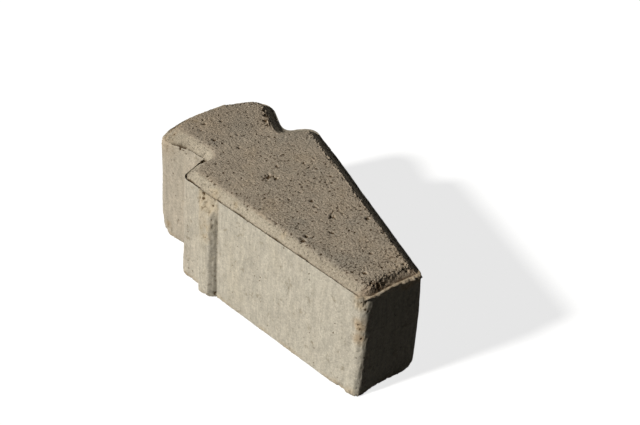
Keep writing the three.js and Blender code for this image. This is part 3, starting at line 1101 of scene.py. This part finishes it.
# %% [markdown]
# ## Sand relief and voids with Geometry Nodes
# Pressed semi-dry concrete is a skin of sand grains with small voids where the paste did
# not flow. The grains follow the surface, and the voids repeat all over it in random
# sizes, so one node tree makes both: noise moves each point along its normal, and points
# scattered with a fixed seed are sampled back as round hollows. Sculpting them would be
# endless, and bump alone would leave the silhouette smooth.


# %% Small helpers for node trees
def add_node(tree, kind, inputs=None, **settings):
    """A node with its settings, and its sockets fed by links or by plain values."""
    node = tree.nodes.new(kind)
    for name, value in settings.items():
        setattr(node, name, value)
    for key, value in (inputs or {}).items():
        socket = node.inputs[key]
        if isinstance(value, bpy.types.NodeSocket):
            tree.links.new(value, socket)
        else:
            socket.default_value = value
    return node


def math_node(tree, operation, a, b=0.0, c=0.0, clamp=False):
    settings = {"operation": operation, "use_clamp": clamp}
    return add_node(tree, "ShaderNodeMath", {0: a, 1: b, 2: c}, **settings).outputs[0]


def times(tree, a, b):
    return math_node(tree, "MULTIPLY", a, b)


def larger(tree, a, b):
    return math_node(tree, "MAXIMUM", a, b)


def remap(tree, value, low, high, to_low=0.0, to_high=1.0, smooth=False):
    kind = "SMOOTHSTEP" if smooth else "LINEAR"
    inputs = {0: value, 1: low, 2: high, 3: to_low, 4: to_high}
    return add_node(tree, "ShaderNodeMapRange", inputs, interpolation_type=kind).outputs[0]


def noise(tree, vector, scale, detail=2.0, roughness=0.5, offset=0.0):
    """Noise from 0 to 1, in features to the metre; the offset makes it a noise of its own."""
    if offset:
        vector = add_node(tree, "ShaderNodeVectorMath", {0: vector, 1: (offset,) * 3}).outputs[0]
    inputs = {"Vector": vector, "Scale": scale, "Detail": detail, "Roughness": roughness}
    return add_node(tree, "ShaderNodeTexNoise", inputs).outputs[0]


print("node helpers: add_node, math_node, times, larger, remap, noise")

# %% Helper for node groups
FLOAT = "NodeSocketFloat"
COLOUR = "NodeSocketColor"
VECTOR = "NodeSocketVector"


def new_group(name, kind, sockets):
    """Empty node group with named sockets: (name, in or out, type, default)."""
    tree = bpy.data.node_groups.new(name, kind)
    for label, way, socket, default in sockets:
        made = tree.interface.new_socket(label, in_out=way, socket_type=socket)
        if default is not None:
            made.default_value = default
    start = tree.nodes.new("NodeGroupInput")
    end = tree.nodes.new("NodeGroupOutput")
    return tree, start.outputs, end.inputs


print("socket kinds:", FLOAT, COLOUR, VECTOR)

# %% The relief tree and its sizes
# in metres, apart from the density, which counts voids to the square metre
RELIEF_SIZES = {
    "Grain Size": 0.0011,
    "Grain Height": 0.0014,
    "Wave Height": 0.0005,
    "Gap Depth": 0.0006,
    "Void Spacing": 0.0022,
    "Void Density": 16000.0,
    "Least Void": 0.0004,
    "Largest Void": 0.0013,
}
VOID_SEED = 7
FINISHES = {
    ZONE_BED: "Bed Finish",
    ZONE_WALL: "Wall Finish",
    ZONE_TOP: "Face Finish",
}
relief, r_in, r_out = new_group("pressed_relief", "GeometryNodeTree", [
    ("Geometry", "INPUT", "NodeSocketGeometry", None),
    *[(name, "INPUT", FLOAT, size) for name, size in RELIEF_SIZES.items()],
    ("Seed", "INPUT", "NodeSocketInt", VOID_SEED),
    *[(name, "INPUT", "NodeSocketMaterial", None) for name in FINISHES.values()],
    ("Geometry", "OUTPUT", "NodeSocketGeometry", None),
])


def attribute(tree, name, kind="FLOAT"):
    node = add_node(tree, "GeometryNodeInputNamedAttribute", {"Name": name}, data_type=kind)
    return node.outputs["Attribute"]


def moved_by(tree, geometry, direction, amount):
    """The geometry with each point moved along a direction."""
    offset = add_node(tree, "ShaderNodeVectorMath", {0: direction, "Scale": amount},
                      operation="SCALE").outputs[0]
    inputs = {"Geometry": geometry, "Offset": offset}
    return add_node(tree, "GeometryNodeSetPosition", inputs).outputs[0]


print("relief inputs:", list(r_in.keys()))

# %% Grain, slow waves and the gaps between grains
# scales of the noises, in features to the metre, and how much grit deepens the relief
WAVE_SCALE = 60.0
GAP_SCALE = 480.0
GRIT_GAIN = 4.0
position = add_node(relief, "GeometryNodeInputPosition").outputs[0]
normal = add_node(relief, "GeometryNodeInputNormal").outputs[0]
grit_here = attribute(relief, "grit")
scale = math_node(relief, "DIVIDE", 1.0, r_in["Grain Size"])
grain = noise(relief, position, scale, 2.0, 0.6)
grain = math_node(relief, "SUBTRACT", grain, 0.5)
grain_step = times(relief, grain, r_in["Grain Height"])
grain_step = times(relief, grain_step, times(relief, grit_here, GRIT_GAIN))
wave = math_node(relief, "SUBTRACT", noise(relief, position, WAVE_SCALE, 1.0, 0.5, 3.0), 0.5)
wave_step = times(relief, wave, r_in["Wave Height"])
gaps = remap(relief, noise(relief, position, GAP_SCALE, 2.0, 0.6, 2.0), 0.42, 0.34, smooth=True)
gap_step = times(relief, times(relief, gaps, r_in["Gap Depth"]),
                 times(relief, grit_here, -GRIT_GAIN))
lift = math_node(relief, "ADD", math_node(relief, "ADD", grain_step, wave_step), gap_step)
grained = moved_by(relief, r_in["Geometry"], normal, lift)
print("relief nodes so far:", len(relief.nodes))

# %% Voids: scattered once over the pressed top
CROWD_SCALE = 90.0                     # of the places where voids crowd
SIZE_SEED = 3
FEW_LARGE = 3.0                        # the higher the power, the fewer large voids
zone = attribute(relief, "zone", "INT")


def in_zone(number):
    inputs = {2: zone, 3: number}
    settings = {"data_type": "INT", "operation": "EQUAL"}
    return add_node(relief, "FunctionNodeCompare", inputs, **settings).outputs[0]


on_top = in_zone(ZONE_TOP)
crowding = noise(relief, position, CROWD_SCALE, 2.0, 0.6, 5.0)
crowding = remap(relief, crowding, 0.42, 0.66, 0.15, 1.0)
level_part = remap(relief, attribute(relief, "chamfer"), 0.0, 0.8, 1.0, 0.12)
crowding = times(relief, crowding, times(relief, on_top, level_part))
scatter = add_node(relief, "GeometryNodeDistributePointsOnFaces", {
    "Mesh": grained,
    "Distance Min": r_in["Void Spacing"],
    "Density Max": r_in["Void Density"],
    "Density Factor": crowding,
    "Seed": r_in["Seed"],
}, distribute_method="POISSON")
chance = add_node(relief, "FunctionNodeRandomValue", {"Seed": SIZE_SEED}, data_type="FLOAT")
rare = math_node(relief, "POWER", chance.outputs[1], FEW_LARGE)
spread = math_node(relief, "SUBTRACT", r_in["Largest Void"], r_in["Least Void"])
radius = math_node(relief, "MULTIPLY_ADD", rare, spread, r_in["Least Void"])
sized = add_node(relief, "GeometryNodeStoreNamedAttribute", {
    "Geometry": scatter.outputs["Points"],
    "Name": "void_radius",
    "Value": radius,
}, data_type="FLOAT", domain="POINT").outputs[0]
print("relief nodes so far:", len(relief.nodes))

# %% Voids: read back by every point near them, as round hollows
WOBBLE_SCALE = 900.0                   # of the noise that makes their rims uneven
VOID_DEPTH = 0.85                      # share of a void's radius
nearest = add_node(relief, "GeometryNodeSampleNearest", {
    "Geometry": sized,
    "Sample Position": position,
}, domain="POINT").outputs[0]


def at_nearest(value, kind):
    """A value of the void that lies nearest to the point."""
    inputs = {"Geometry": sized, "Value": value, "Index": nearest}
    settings = {"data_type": kind, "domain": "POINT"}
    return add_node(relief, "GeometryNodeSampleIndex", inputs, **settings).outputs[0]


void_place = at_nearest(position, "FLOAT_VECTOR")
void_radius = at_nearest(attribute(relief, "void_radius"), "FLOAT")
far = add_node(relief, "ShaderNodeVectorMath", {0: position, 1: void_place},
               operation="DISTANCE").outputs["Value"]
wobble = noise(relief, position, WOBBLE_SCALE, 1.0, 0.5, 7.0)
wobble = remap(relief, wobble, 0.3, 0.7, 0.7, 1.3)
far = times(relief, math_node(relief, "DIVIDE", far, void_radius), wobble)
bowl = remap(relief, far, 1.2, 0.3, smooth=True)
bowl = times(relief, bowl, on_top)
depth = times(relief, void_radius, times(relief, bowl, -VOID_DEPTH))
# the pit mask, with the voids added, is where the face is painted dark as shade inside the
# hollows
both = larger(relief, bowl, attribute(relief, "pit"))
marked = add_node(relief, "GeometryNodeStoreNamedAttribute", {
    "Geometry": grained,
    "Name": "pit",
    "Value": both,
}, data_type="FLOAT", domain="POINT").outputs[0]
hollowed = moved_by(relief, marked, normal, depth)
print("relief nodes so far:", len(relief.nodes))

# %% Make the tree's result real and give each zone its finish
solid = add_node(relief, "GeometryNodeRealizeInstances", {"Geometry": hollowed}).outputs[0]
for number, label in FINISHES.items():
    solid = add_node(relief, "GeometryNodeSetMaterial", {
        "Geometry": solid,
        "Selection": in_zone(number),
        "Material": r_in[label],
    }).outputs[0]
relief.links.new(solid, r_out["Geometry"])
print("relief tree has", len(relief.nodes), "nodes")

# %% [markdown]
# ## Concrete finishes
# All three skins are the same mix, so they share node groups: sand grain, pinholes and
# slow changes of tone. The walking face is darker and browner, partly from its own brown
# sand and partly from painted shade for its rough grains and the gaps between them, the
# walls are pale cement paste drawn down by the mould, and the bed is coarse. Colours are
# written as the concrete looks in plain light, apart from the painted shade in gaps, pits and the
# groove.


# %% Shared group: sand grain
sand, s_in, s_out = new_group("sand_grain", "ShaderNodeTree", [
    ("Place", "INPUT", VECTOR, None),
    ("Grain Size", "INPUT", FLOAT, 0.0008),
    ("Tone", "OUTPUT", FLOAT, None),
    ("Height", "OUTPUT", FLOAT, None),
])
fine_scale = math_node(sand, "DIVIDE", 1.0, s_in["Grain Size"])
coarse_scale = times(sand, fine_scale, 0.45)
fine = noise(sand, s_in["Place"], fine_scale, 3.0, 0.65)
coarse = noise(sand, s_in["Place"], coarse_scale, 2.0, 0.55, 2.0)
tone = math_node(sand, "ADD", times(sand, fine, 0.6), times(sand, coarse, 0.4))
sand.links.new(remap(sand, tone, 0.34, 0.66), s_out["Tone"])
rise = math_node(sand, "MULTIPLY_ADD", fine, 0.5, times(sand, coarse, 0.5))
sand.links.new(rise, s_out["Height"])
print("group", sand.name)

# %% Shared group: open pores, short ragged gaps between the grains
pores, p_in, p_out = new_group("open_pores", "ShaderNodeTree", [
    ("Place", "INPUT", VECTOR, None),
    ("Pore Size", "INPUT", FLOAT, 0.0014),
    ("Share", "INPUT", FLOAT, 0.5),
    ("Pore", "OUTPUT", FLOAT, None),
])
pore_scale = math_node(pores, "DIVIDE", 1.0, p_in["Pore Size"])
ragged = noise(pores, p_in["Place"], pore_scale, 2.5, 0.62, 1.0)
crowd = noise(pores, p_in["Place"], times(pores, pore_scale, 0.11), 2.0, 0.6, 6.0)
limit = remap(pores, crowd, 0.35, 0.65, 0.335, 0.405)
limit = math_node(pores, "ADD", limit, remap(pores, p_in["Share"], 0.0, 1.0, -0.06, 0.04))
gap = math_node(pores, "SUBTRACT", limit, ragged)
pores.links.new(remap(pores, gap, -0.015, 0.035, smooth=True), p_out["Pore"])
print("group", pores.name)

# %% Shared group: pinholes
pins, p_in, p_out = new_group("pinholes", "ShaderNodeTree", [
    ("Place", "INPUT", VECTOR, None),
    ("Spacing", "INPUT", FLOAT, 0.003),
    ("Share", "INPUT", FLOAT, 0.4),
    ("Radius", "INPUT", FLOAT, 0.16),
    ("Hole", "OUTPUT", FLOAT, None),
])
cell = add_node(pins, "ShaderNodeTexVoronoi", {
    "Vector": p_in["Place"],
    "Scale": math_node(pins, "DIVIDE", 1.0, p_in["Spacing"]),
    "Randomness": 1.0,
}, feature="F1")
apart = add_node(pins, "ShaderNodeSeparateColor", {0: cell.outputs["Color"]})
present = math_node(pins, "LESS_THAN", apart.outputs[0], p_in["Share"])
size = times(pins, p_in["Radius"], remap(pins, apart.outputs[1], 0, 1, 0.5, 1.4))
uneven = remap(pins, noise(pins, p_in["Place"], 1100.0, 2.0), 0.3, 0.7, 0.55, 1.45)
from_middle = times(pins, cell.outputs["Distance"], uneven)
hole = math_node(pins, "SUBTRACT", 1.0, math_node(pins, "DIVIDE", from_middle, size), clamp=True)
hole = remap(pins, hole, 0.0, 0.45, smooth=True)
pins.links.new(times(pins, hole, present), p_out["Hole"])
print("group", pins.name)

# %% Shared group: cement tone
PLAIN_CEMENT = (0.5, 0.46, 0.36, 1)
tones, t_in, t_out = new_group("cement_tone", "ShaderNodeTree", [
    ("Place", "INPUT", VECTOR, None),
    *[(tone, "INPUT", COLOUR, PLAIN_CEMENT) for tone in ("Base", "Warm", "Cool")],
    ("Blotch Size", "INPUT", FLOAT, 0.02),
    ("Strength", "INPUT", FLOAT, 1.0),
    ("Colour", "OUTPUT", COLOUR, None),
])


def mix_colour(tree, factor, a, b, blend="MIX"):
    settings = {"data_type": "RGBA", "blend_type": blend}
    return add_node(tree, "ShaderNodeMix", {0: factor, 6: a, 7: b}, **settings).outputs[2]


def shaded(tree, colour, level):
    """Multiplies a colour by a level of grey."""
    grey = add_node(tree, "ShaderNodeCombineColor", {0: level, 1: level, 2: level}).outputs[0]
    return mix_colour(tree, 1.0, colour, grey, "MULTIPLY")


blotch_scale = math_node(tones, "DIVIDE", 1.0, t_in["Blotch Size"])
slow = noise(tones, t_in["Place"], blotch_scale, 3.0, 0.55)
quick = noise(tones, t_in["Place"], times(tones, blotch_scale, 3.7), 2.0, 0.5, 4.0)
warm_mask = remap(tones, slow, 0.5, 0.72, smooth=True)
cool_mask = remap(tones, slow, 0.5, 0.30, smooth=True)
warm_mask = times(tones, warm_mask, t_in["Strength"])
cool_mask = times(tones, cool_mask, t_in["Strength"])
shade = mix_colour(tones, warm_mask, t_in["Base"], t_in["Warm"])
shade = mix_colour(tones, cool_mask, shade, t_in["Cool"])
shade = shaded(tones, shade, remap(tones, quick, 0.3, 0.7, 0.93, 1.07))
tones.links.new(shade, t_out["Colour"])
print("group", tones.name)


# %% Helpers that the three materials share
DRY_GLOSS = 0.1                        # dry concrete hardly shines


def place_group(tree, group, inputs):
    return add_node(tree, "ShaderNodeGroup", inputs, node_tree=group).outputs


def mask(tree, name):
    return add_node(tree, "ShaderNodeAttribute", attribute_name=name).outputs["Fac"]


def darker(tree, colour, amount, tint):
    """Multiplies a colour by a tint where the amount is 1."""
    return mix_colour(tree, amount, colour, mix_colour(tree, 1.0, colour, tint, "MULTIPLY"))


def frayed(tree, mask_of, ragged, low, high, faint):
    """A mask with a ragged edge, gone where the mask itself is fainter than a value."""
    ragged = remap(tree, ragged, 0.3, 0.7, low, 0.4)
    torn = remap(tree, math_node(tree, "ADD", mask_of, ragged), 0.3, high, smooth=True)
    return times(tree, torn, remap(tree, mask_of, 0.02, faint, smooth=True))


def along_stone(tree, where):
    """Distance along the stone's length, in metres from its middle."""
    return add_node(tree, "ShaderNodeSeparateXYZ", {0: where}).outputs["Y"]


def cement(tree, place, colours, blotch, strength):
    """The tone of the cement at each place, from its base, warm and cool colours."""
    inputs = dict(zip(("Base", "Warm", "Cool"), colours))
    inputs.update({"Place": place, "Blotch Size": blotch, "Strength": strength})
    return place_group(tree, tones, inputs)["Colour"]


print("shared groups:", [group.name for group in bpy.data.node_groups])


# %% Start and finish of a concrete
def new_concrete(name, roughness):
    """A concrete with its tree, its shader and the place of each point."""
    material = bpy.data.materials.new(name)
    material.use_nodes = True
    tree = material.node_tree
    shader = tree.nodes["Principled BSDF"]
    shader.inputs["Roughness"].default_value = roughness
    shader.inputs["Specular IOR Level"].default_value = DRY_GLOSS
    where = add_node(tree, "ShaderNodeTexCoord").outputs["Object"]
    return material, tree, shader, where


def finish_material(tree, shader, colour, height, distance):
    """Joins the colour and a bump of the height, at most the distance tall, to the shader."""
    tree.links.new(colour, shader.inputs["Base Color"])
    inputs = {"Height": height, "Distance": distance, "Strength": 1.0}
    bump = add_node(tree, "ShaderNodeBump", inputs).outputs[0]
    tree.links.new(bump, shader.inputs["Normal"])


print("gloss of dry concrete:", DRY_GLOSS)

# %% [markdown]
# ## Walking face
# The pressed face is dark and brownish: bare sand grains, painted shade in the gaps between
# them, and a paler, smoother chamfer round it. One picture of concrete stretched over the
# block would show its seams. Layers are mixed by place instead, from the slow tone of the
# cement up to single pale grains, some of them painted glints, and the painted shade of the gaps
# is laid over them last.

# %% Walking face: the tone of the cement and the grains
# darker than the walls' paste: partly the face's own brown sand, partly painted shade standing in
# for the self-shadow of its rough grains
FACE_BASE = (0.412, 0.343, 0.26, 1)
FACE_WARM = (0.445, 0.358, 0.258, 1)
FACE_COOL = (0.36, 0.312, 0.245, 1)
CHAMFER_PALE = (0.45, 0.392, 0.30, 1)
CHAMFER_DULL = (0.39, 0.334, 0.253, 1)
PALE_GRAIN_GLINT = (0.56, 0.50, 0.40, 1)
SANDY_TAN = (0.50, 0.385, 0.235, 1)
face_finish, tree, shader, where = new_concrete("walking_face_concrete", 0.92)
along = along_stone(tree, where)
grain_of = place_group(tree, sand, {"Place": where, "Grain Size": 0.0006})
tone_of = cement(tree, where, (FACE_BASE, FACE_WARM, FACE_COOL), 0.026, 0.9)
near_end = remap(tree, along, -0.01, -0.08, smooth=True)
slope_tone = mix_colour(tree, near_end, CHAMFER_PALE, CHAMFER_DULL)
colour = mix_colour(tree, mask(tree, "chamfer"), tone_of, slope_tone)
colour = shaded(tree, colour, remap(tree, grain_of["Tone"], 0.0, 1.0, 0.70, 1.38))
# pale specks: partly pale sand grains, partly painted glints of grains that catch the light
salt = remap(tree, noise(tree, where, 950.0, 1.5, 0.5, 8.0), 0.64, 0.72, 0.0, 0.75, True)
colour = mix_colour(tree, salt, colour, PALE_GRAIN_GLINT)
print("grains of", face_finish.name)

# %% Walking face: sand, soil and the duller head
SOIL_TINT = (0.90, 0.76, 0.62, 1)
HEAD_DULL = (0.93, 0.92, 0.91, 1)
END_BROWN = (0.56, 0.41, 0.285, 1)
colour = mix_colour(tree, times(tree, mask(tree, "sandy"), 0.4), colour, SANDY_TAN)
colour = darker(tree, colour, remap(tree, along, 0.052, 0.075, smooth=True), HEAD_DULL)
at_end = remap(tree, along, -0.07, -0.085, 0.0, 0.6, True)
colour = mix_colour(tree, times(tree, mask(tree, "soil"), at_end), colour, END_BROWN)
at_crown = remap(tree, along, 0.07, 0.085, smooth=True)
colour = darker(tree, colour, times(tree, mask(tree, "soil"), at_crown), SOIL_TINT)
print("soil of", face_finish.name)

# %% Walking face: painted shade in the gaps, pinholes, pits and groove
# GAP_SHADE is painted shade, laid into pores, pinholes, pits and the groove, where shade falls in
# the hollows
GAP_SHADE = (0.22, 0.17, 0.12, 1)
gap_of = place_group(tree, pores, {
    "Place": where,
    "Pore Size": 0.0013,
    "Share": remap(tree, along, -0.09, 0.09, 0.85, 0.4, True),
})
holes = place_group(tree, pins, {
    "Place": where,
    "Spacing": 0.0030,
    "Share": remap(tree, along, -0.09, 0.06, 0.9, 0.6, True),
    "Radius": 0.21,
})
open_part = remap(tree, mask(tree, "chamfer"), 0.0, 0.7, 1.0, 0.15)
open_part = larger(tree, open_part, mask(tree, "soil"))
dark = larger(tree, holes["Hole"], times(tree, gap_of["Pore"], 0.8))
# painted shade inside the pits and voids, with a ragged edge
torn_pit = frayed(tree, mask(tree, "pit"), noise(tree, where, 900.0, 2.5, 0.6, 14.0),
                  -0.55, 0.7, 0.15)
dark = larger(tree, times(tree, dark, open_part), torn_pit)
# painted shade along the groove at the chamfer's foot
dark = larger(tree, dark, mask(tree, "groove"))
colour = darker(tree, colour, dark, GAP_SHADE)
rise = math_node(tree, "MULTIPLY_ADD", grain_of["Height"], 1.0, times(tree, holes["Hole"], -0.6))
rise = math_node(tree, "MULTIPLY_ADD", gap_of["Pore"], -0.35, rise)
finish_material(tree, shader, colour, rise, 0.0009)
print("finish", face_finish.name, "has", len(tree.nodes), "nodes")

# %% [markdown]
# ## Moulded walls
# The walls are pale cement paste, drawn down by the mould as the stone was pushed out, so
# their tones and streaks run upright. Stretching every noise would smear the sand too.
# Only the tone and the drag marks are read from a place that a Mapping node has squeezed
# in height, and the grains, pinholes, stains and painted shade stay round.

# %% Moulded walls: paste, drag marks and grains
WALL_BASE = (0.553, 0.505, 0.41, 1)
WALL_WARM = (0.56, 0.503, 0.393, 1)
WALL_COOL = (0.515, 0.476, 0.386, 1)
TALL_BLOTCHES = (1.0, 1.0, 0.35)
DRAG_MARKS = (1.0, 1.0, 0.06)
wall_finish, tree, shader, where = new_concrete("moulded_wall_concrete", 0.9)
along = along_stone(tree, where)
grain_of = place_group(tree, sand, {"Place": where, "Grain Size": 0.0008})
tall = add_node(tree, "ShaderNodeMapping", {"Vector": where, "Scale": TALL_BLOTCHES}).outputs[0]
drawn = add_node(tree, "ShaderNodeMapping", {"Vector": where, "Scale": DRAG_MARKS}).outputs[0]
tone_of = cement(tree, tall, (WALL_BASE, WALL_WARM, WALL_COOL), 0.016, 0.6)
drag = noise(tree, drawn, 700.0, 3.0, 0.6)
patches = remap(tree, noise(tree, tall, 300.0, 2.0, 0.55, 12.0), 0.34, 0.66, 0.92, 1.06)
drag_tone = times(tree, remap(tree, drag, 0.3, 0.7, 0.92, 1.08), patches)
speck = times(tree, remap(tree, grain_of["Tone"], 0.0, 1.0, 0.77, 1.19), drag_tone)
colour = shaded(tree, tone_of, speck)
print("paste of", wall_finish.name)

# %% Moulded walls: sand, soil, stains and painted dent shade
PALE_SAND = (0.70, 0.65, 0.54, 1)
HEAD_TINT = (0.92, 0.885, 0.865, 1)
SMUDGE_AND_DENT_SHADE = (0.68, 0.65, 0.60, 1)
salt = remap(tree, noise(tree, where, 800.0, 1.5, 0.5, 8.0), 0.62, 0.70, smooth=True)
salt = times(tree, salt, remap(tree, along, -0.02, -0.08, 0.15, 0.7, True))
colour = mix_colour(tree, salt, colour, PALE_SAND)
colour = mix_colour(tree, times(tree, mask(tree, "sandy"), 0.55), colour, SANDY_TAN)
colour = darker(tree, colour, remap(tree, along, 0.022, 0.062, smooth=True), HEAD_TINT)
# grey smudges: partly stains of the paste, partly painted shade of small dents in the wall
smudge_and_dent_shade = remap(tree, noise(tree, where, 170.0, 4.0, 0.7, 9.0), 0.56, 0.70, 0.0, 0.9, True)
colour = darker(tree, colour, smudge_and_dent_shade, SMUDGE_AND_DENT_SHADE)
colour = darker(tree, colour, times(tree, mask(tree, "soil"), 0.9), SOIL_TINT)
print("stains of", wall_finish.name)

# %% Moulded walls: painted shade in gaps, pinholes, the groove and breaks
gap_of = place_group(tree, pores, {"Place": where, "Pore Size": 0.0017, "Share": 0.0})
holes = place_group(tree, pins, {"Place": where, "Spacing": 0.0042, "Share": 0.4, "Radius": 0.14})
open_skin = place_group(tree, pores, {"Place": where, "Pore Size": 0.0019, "Share": 1.0})
skin_gone = larger(tree, mask(tree, "sandy"), mask(tree, "soil"))
# painted shade in the pinholes and pores, more where the skin is gone
dark = times(tree, larger(tree, holes["Hole"], times(tree, gap_of["Pore"], 0.6)), 0.7)
dark = larger(tree, dark, times(tree, open_skin["Pore"], times(tree, skin_gone, 0.5)))
# painted shade in the groove, the rib's crease and the breaks
dark = larger(tree, dark, times(tree, mask(tree, "groove"), 0.6))
torn_break = frayed(tree, mask(tree, "groove"), noise(tree, where, 1000.0, 2.5, 0.6, 15.0),
                    -0.4, 0.8, 0.2)
dark = larger(tree, dark, torn_break)
colour = darker(tree, colour, dark, GAP_SHADE)
rise = math_node(tree, "SUBTRACT", grain_of["Height"], times(tree, dark, 0.6))
rise = math_node(tree, "ADD", rise, times(tree, drag, 0.55))
finish_material(tree, shader, colour, rise, 0.00035)
print("finish", wall_finish.name, "has", len(tree.nodes), "nodes")

# %% [markdown]
# ## Bed
# The underside lay on a board while the stone cured, so it is coarse, open and a little
# darker. It is seldom seen. The shared groups with larger sizes are enough for it.

# %% Bed
BED_BASE = (0.40, 0.36, 0.28, 1)
bed_finish, tree, shader, where = new_concrete("bed_concrete", 0.94)
grain_of = place_group(tree, sand, {"Place": where, "Grain Size": 0.0014})
gap_of = place_group(tree, pores, {"Place": where, "Pore Size": 0.0021, "Share": 0.9})
tone_of = cement(tree, where, (BED_BASE, SANDY_TAN, FACE_COOL), 0.02, 0.6)
speck = remap(tree, grain_of["Tone"], 0.0, 1.0, 0.76, 1.22)
colour = shaded(tree, tone_of, speck)
# painted shade in the bed's open pores
colour = darker(tree, colour, gap_of["Pore"], GAP_SHADE)
rise = math_node(tree, "SUBTRACT", grain_of["Height"], times(tree, gap_of["Pore"], 0.6))
finish_material(tree, shader, colour, rise, 0.0010)
print("finish", bed_finish.name, "has", len(tree.nodes), "nodes")

# %% [markdown]
# ## From the tree to a plain mesh
# The tree could stay live on the stone, but a piece that is used elsewhere has to be a
# plain mesh. So the sizes are set, the tree is worked out once, its result replaces the
# blank, and the modifier goes.

# %% Press the relief into the mesh and keep it as a plain mesh
inputs = dict(RELIEF_SIZES, Seed=VOID_SEED)
finish_of = {ZONE_BED: bed_finish, ZONE_WALL: wall_finish, ZONE_TOP: face_finish}
for number, finish in finish_of.items():
    inputs[FINISHES[number]] = finish
    mesh.materials.append(finish)
modifier = stone.modifiers.new("pressed relief", "NODES")
modifier.node_group = relief
for item in relief.interface.items_tree:
    if item.in_out == "INPUT" and item.name in inputs:
        modifier[item.identifier] = inputs[item.name]
bpy.context.view_layer.update()
graph = bpy.context.evaluated_depsgraph_get()
pressed = bpy.data.meshes.new_from_object(stone.evaluated_get(graph))
stone.modifiers.remove(modifier)
stone.data = pressed
pressed.name = "stone_body"
pits_deep = np.zeros(len(pressed.vertices), np.float32)
pressed.attributes["pit"].data.foreach_get("value", pits_deep)
print("pressed:", len(pressed.vertices), "points,", [m.name for m in pressed.materials])
print("share of points in a void:", round(float((pits_deep > 0.5).mean()), 3))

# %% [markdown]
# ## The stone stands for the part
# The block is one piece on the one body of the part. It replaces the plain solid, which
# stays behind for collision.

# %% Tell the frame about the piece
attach(stone, "root")
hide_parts("paving_stone")
print("piece:", stone.name)

# %% [markdown]
# ## Floor and light
# A plain pale floor takes the shadow. One soft key light comes low from the side of the
# long wall, so that grains and pits throw shadows of their own. More lamps could fill the
# shade, but they would flatten the stone. A faint sky and the floor do it instead: the
# narrow end stays dark, as it does in low sun, but can still be read. A weak lamp behind
# the stone only picks out the far edges.

# %% Floor
FLOOR_SIZE = 6.0
FLOOR_PALE = (0.42, 0.42, 0.42, 1)
FLOOR_GLOW = 0.78                      # brings the unshaded floor up to the white ground
FLOOR_BOUNCE = (0.04, 0.039, 0.037, 1)  # what the floor throws back onto the stone
WHITE = (1, 1, 1, 1)


def seen_rays(tree):
    """1 for rays that show the surroundings, 0 for rays that only carry their light."""
    rays = add_node(tree, "ShaderNodeLightPath").outputs
    direct = larger(tree, rays["Is Camera Ray"], rays["Is Glossy Ray"])
    return larger(tree, direct, rays["Is Transmission Ray"])


floor_mesh = bpy.data.meshes.new("floor")
half = FLOOR_SIZE / 2
corners = [(-half, -half, 0), (half, -half, 0), (half, half, 0), (-half, half, 0)]
floor_mesh.from_pydata(corners, [], [(0, 1, 2, 3)])
floor = bpy.data.objects.new("floor", floor_mesh)
bpy.context.scene.collection.objects.link(floor)
floor_paint = bpy.data.materials.new("pale_floor")
floor_paint.use_nodes = True
tree = floor_paint.node_tree
tree.nodes.clear()
pale = add_node(tree, "ShaderNodeBsdfDiffuse", {"Color": FLOOR_PALE}).outputs[0]
glow = add_node(tree, "ShaderNodeEmission", {"Color": WHITE, "Strength": FLOOR_GLOW}).outputs[0]
shown = add_node(tree, "ShaderNodeAddShader", {0: pale, 1: glow}).outputs[0]
quiet = add_node(tree, "ShaderNodeBsdfDiffuse", {"Color": FLOOR_BOUNCE}).outputs[0]
both = add_node(tree, "ShaderNodeMixShader", {0: seen_rays(tree), 1: quiet, 2: shown}).outputs[0]
add_node(tree, "ShaderNodeOutputMaterial", {"Surface": both})
floor_mesh.materials.append(floor_paint)
print("floor:", FLOOR_SIZE, "m square")

# %% Lamps
KEY_COMPASS = math.radians(171)        # from +X towards +Y
KEY_HEIGHT = math.radians(32)
KEY_SPREAD = math.radians(5)
KEY_STRENGTH = 3.74
KEY_COLOUR = (1.0, 0.985, 0.955)
BACK_COMPASS = math.radians(20)
BACK_HEIGHT = math.radians(9)
BACK_SPREAD = math.radians(20)
BACK_STRENGTH = 0.18


def sun_lamp(name, compass, height, spread, strength):
    """A lamp far away, whose light comes from a compass angle and a height."""
    data = bpy.data.lights.new(name, "SUN")
    data.energy = strength
    data.angle = spread
    lamp = bpy.data.objects.new(name, data)
    towards = Vector((math.cos(compass), math.sin(compass), math.tan(height)))
    lamp.rotation_euler = towards.to_track_quat("Z", "Y").to_euler()
    bpy.context.scene.collection.objects.link(lamp)
    return data


key = sun_lamp("key", KEY_COMPASS, KEY_HEIGHT, KEY_SPREAD, KEY_STRENGTH)
key.color = KEY_COLOUR
back = sun_lamp("back_fill", BACK_COMPASS, BACK_HEIGHT, BACK_SPREAD, BACK_STRENGTH)
print("key", round(key.energy, 2), "back fill", round(back.energy, 2))

# %% Sky
SKY_FILL = 0.018
world = bpy.data.worlds.new("studio")
bpy.context.scene.world = world
world.use_nodes = True
tree = world.node_tree
tree.nodes.clear()
fill = add_node(tree, "ShaderNodeBackground", {"Color": WHITE, "Strength": SKY_FILL}).outputs[0]
white = add_node(tree, "ShaderNodeBackground", {"Color": WHITE, "Strength": 1.0}).outputs[0]
sky = add_node(tree, "ShaderNodeMixShader", {0: seen_rays(tree), 1: fill, 2: white}).outputs[0]
add_node(tree, "ShaderNodeOutputWorld", {"Surface": sky})
bpy.context.scene.view_settings.view_transform = "Standard"
print("sky fill", SKY_FILL)
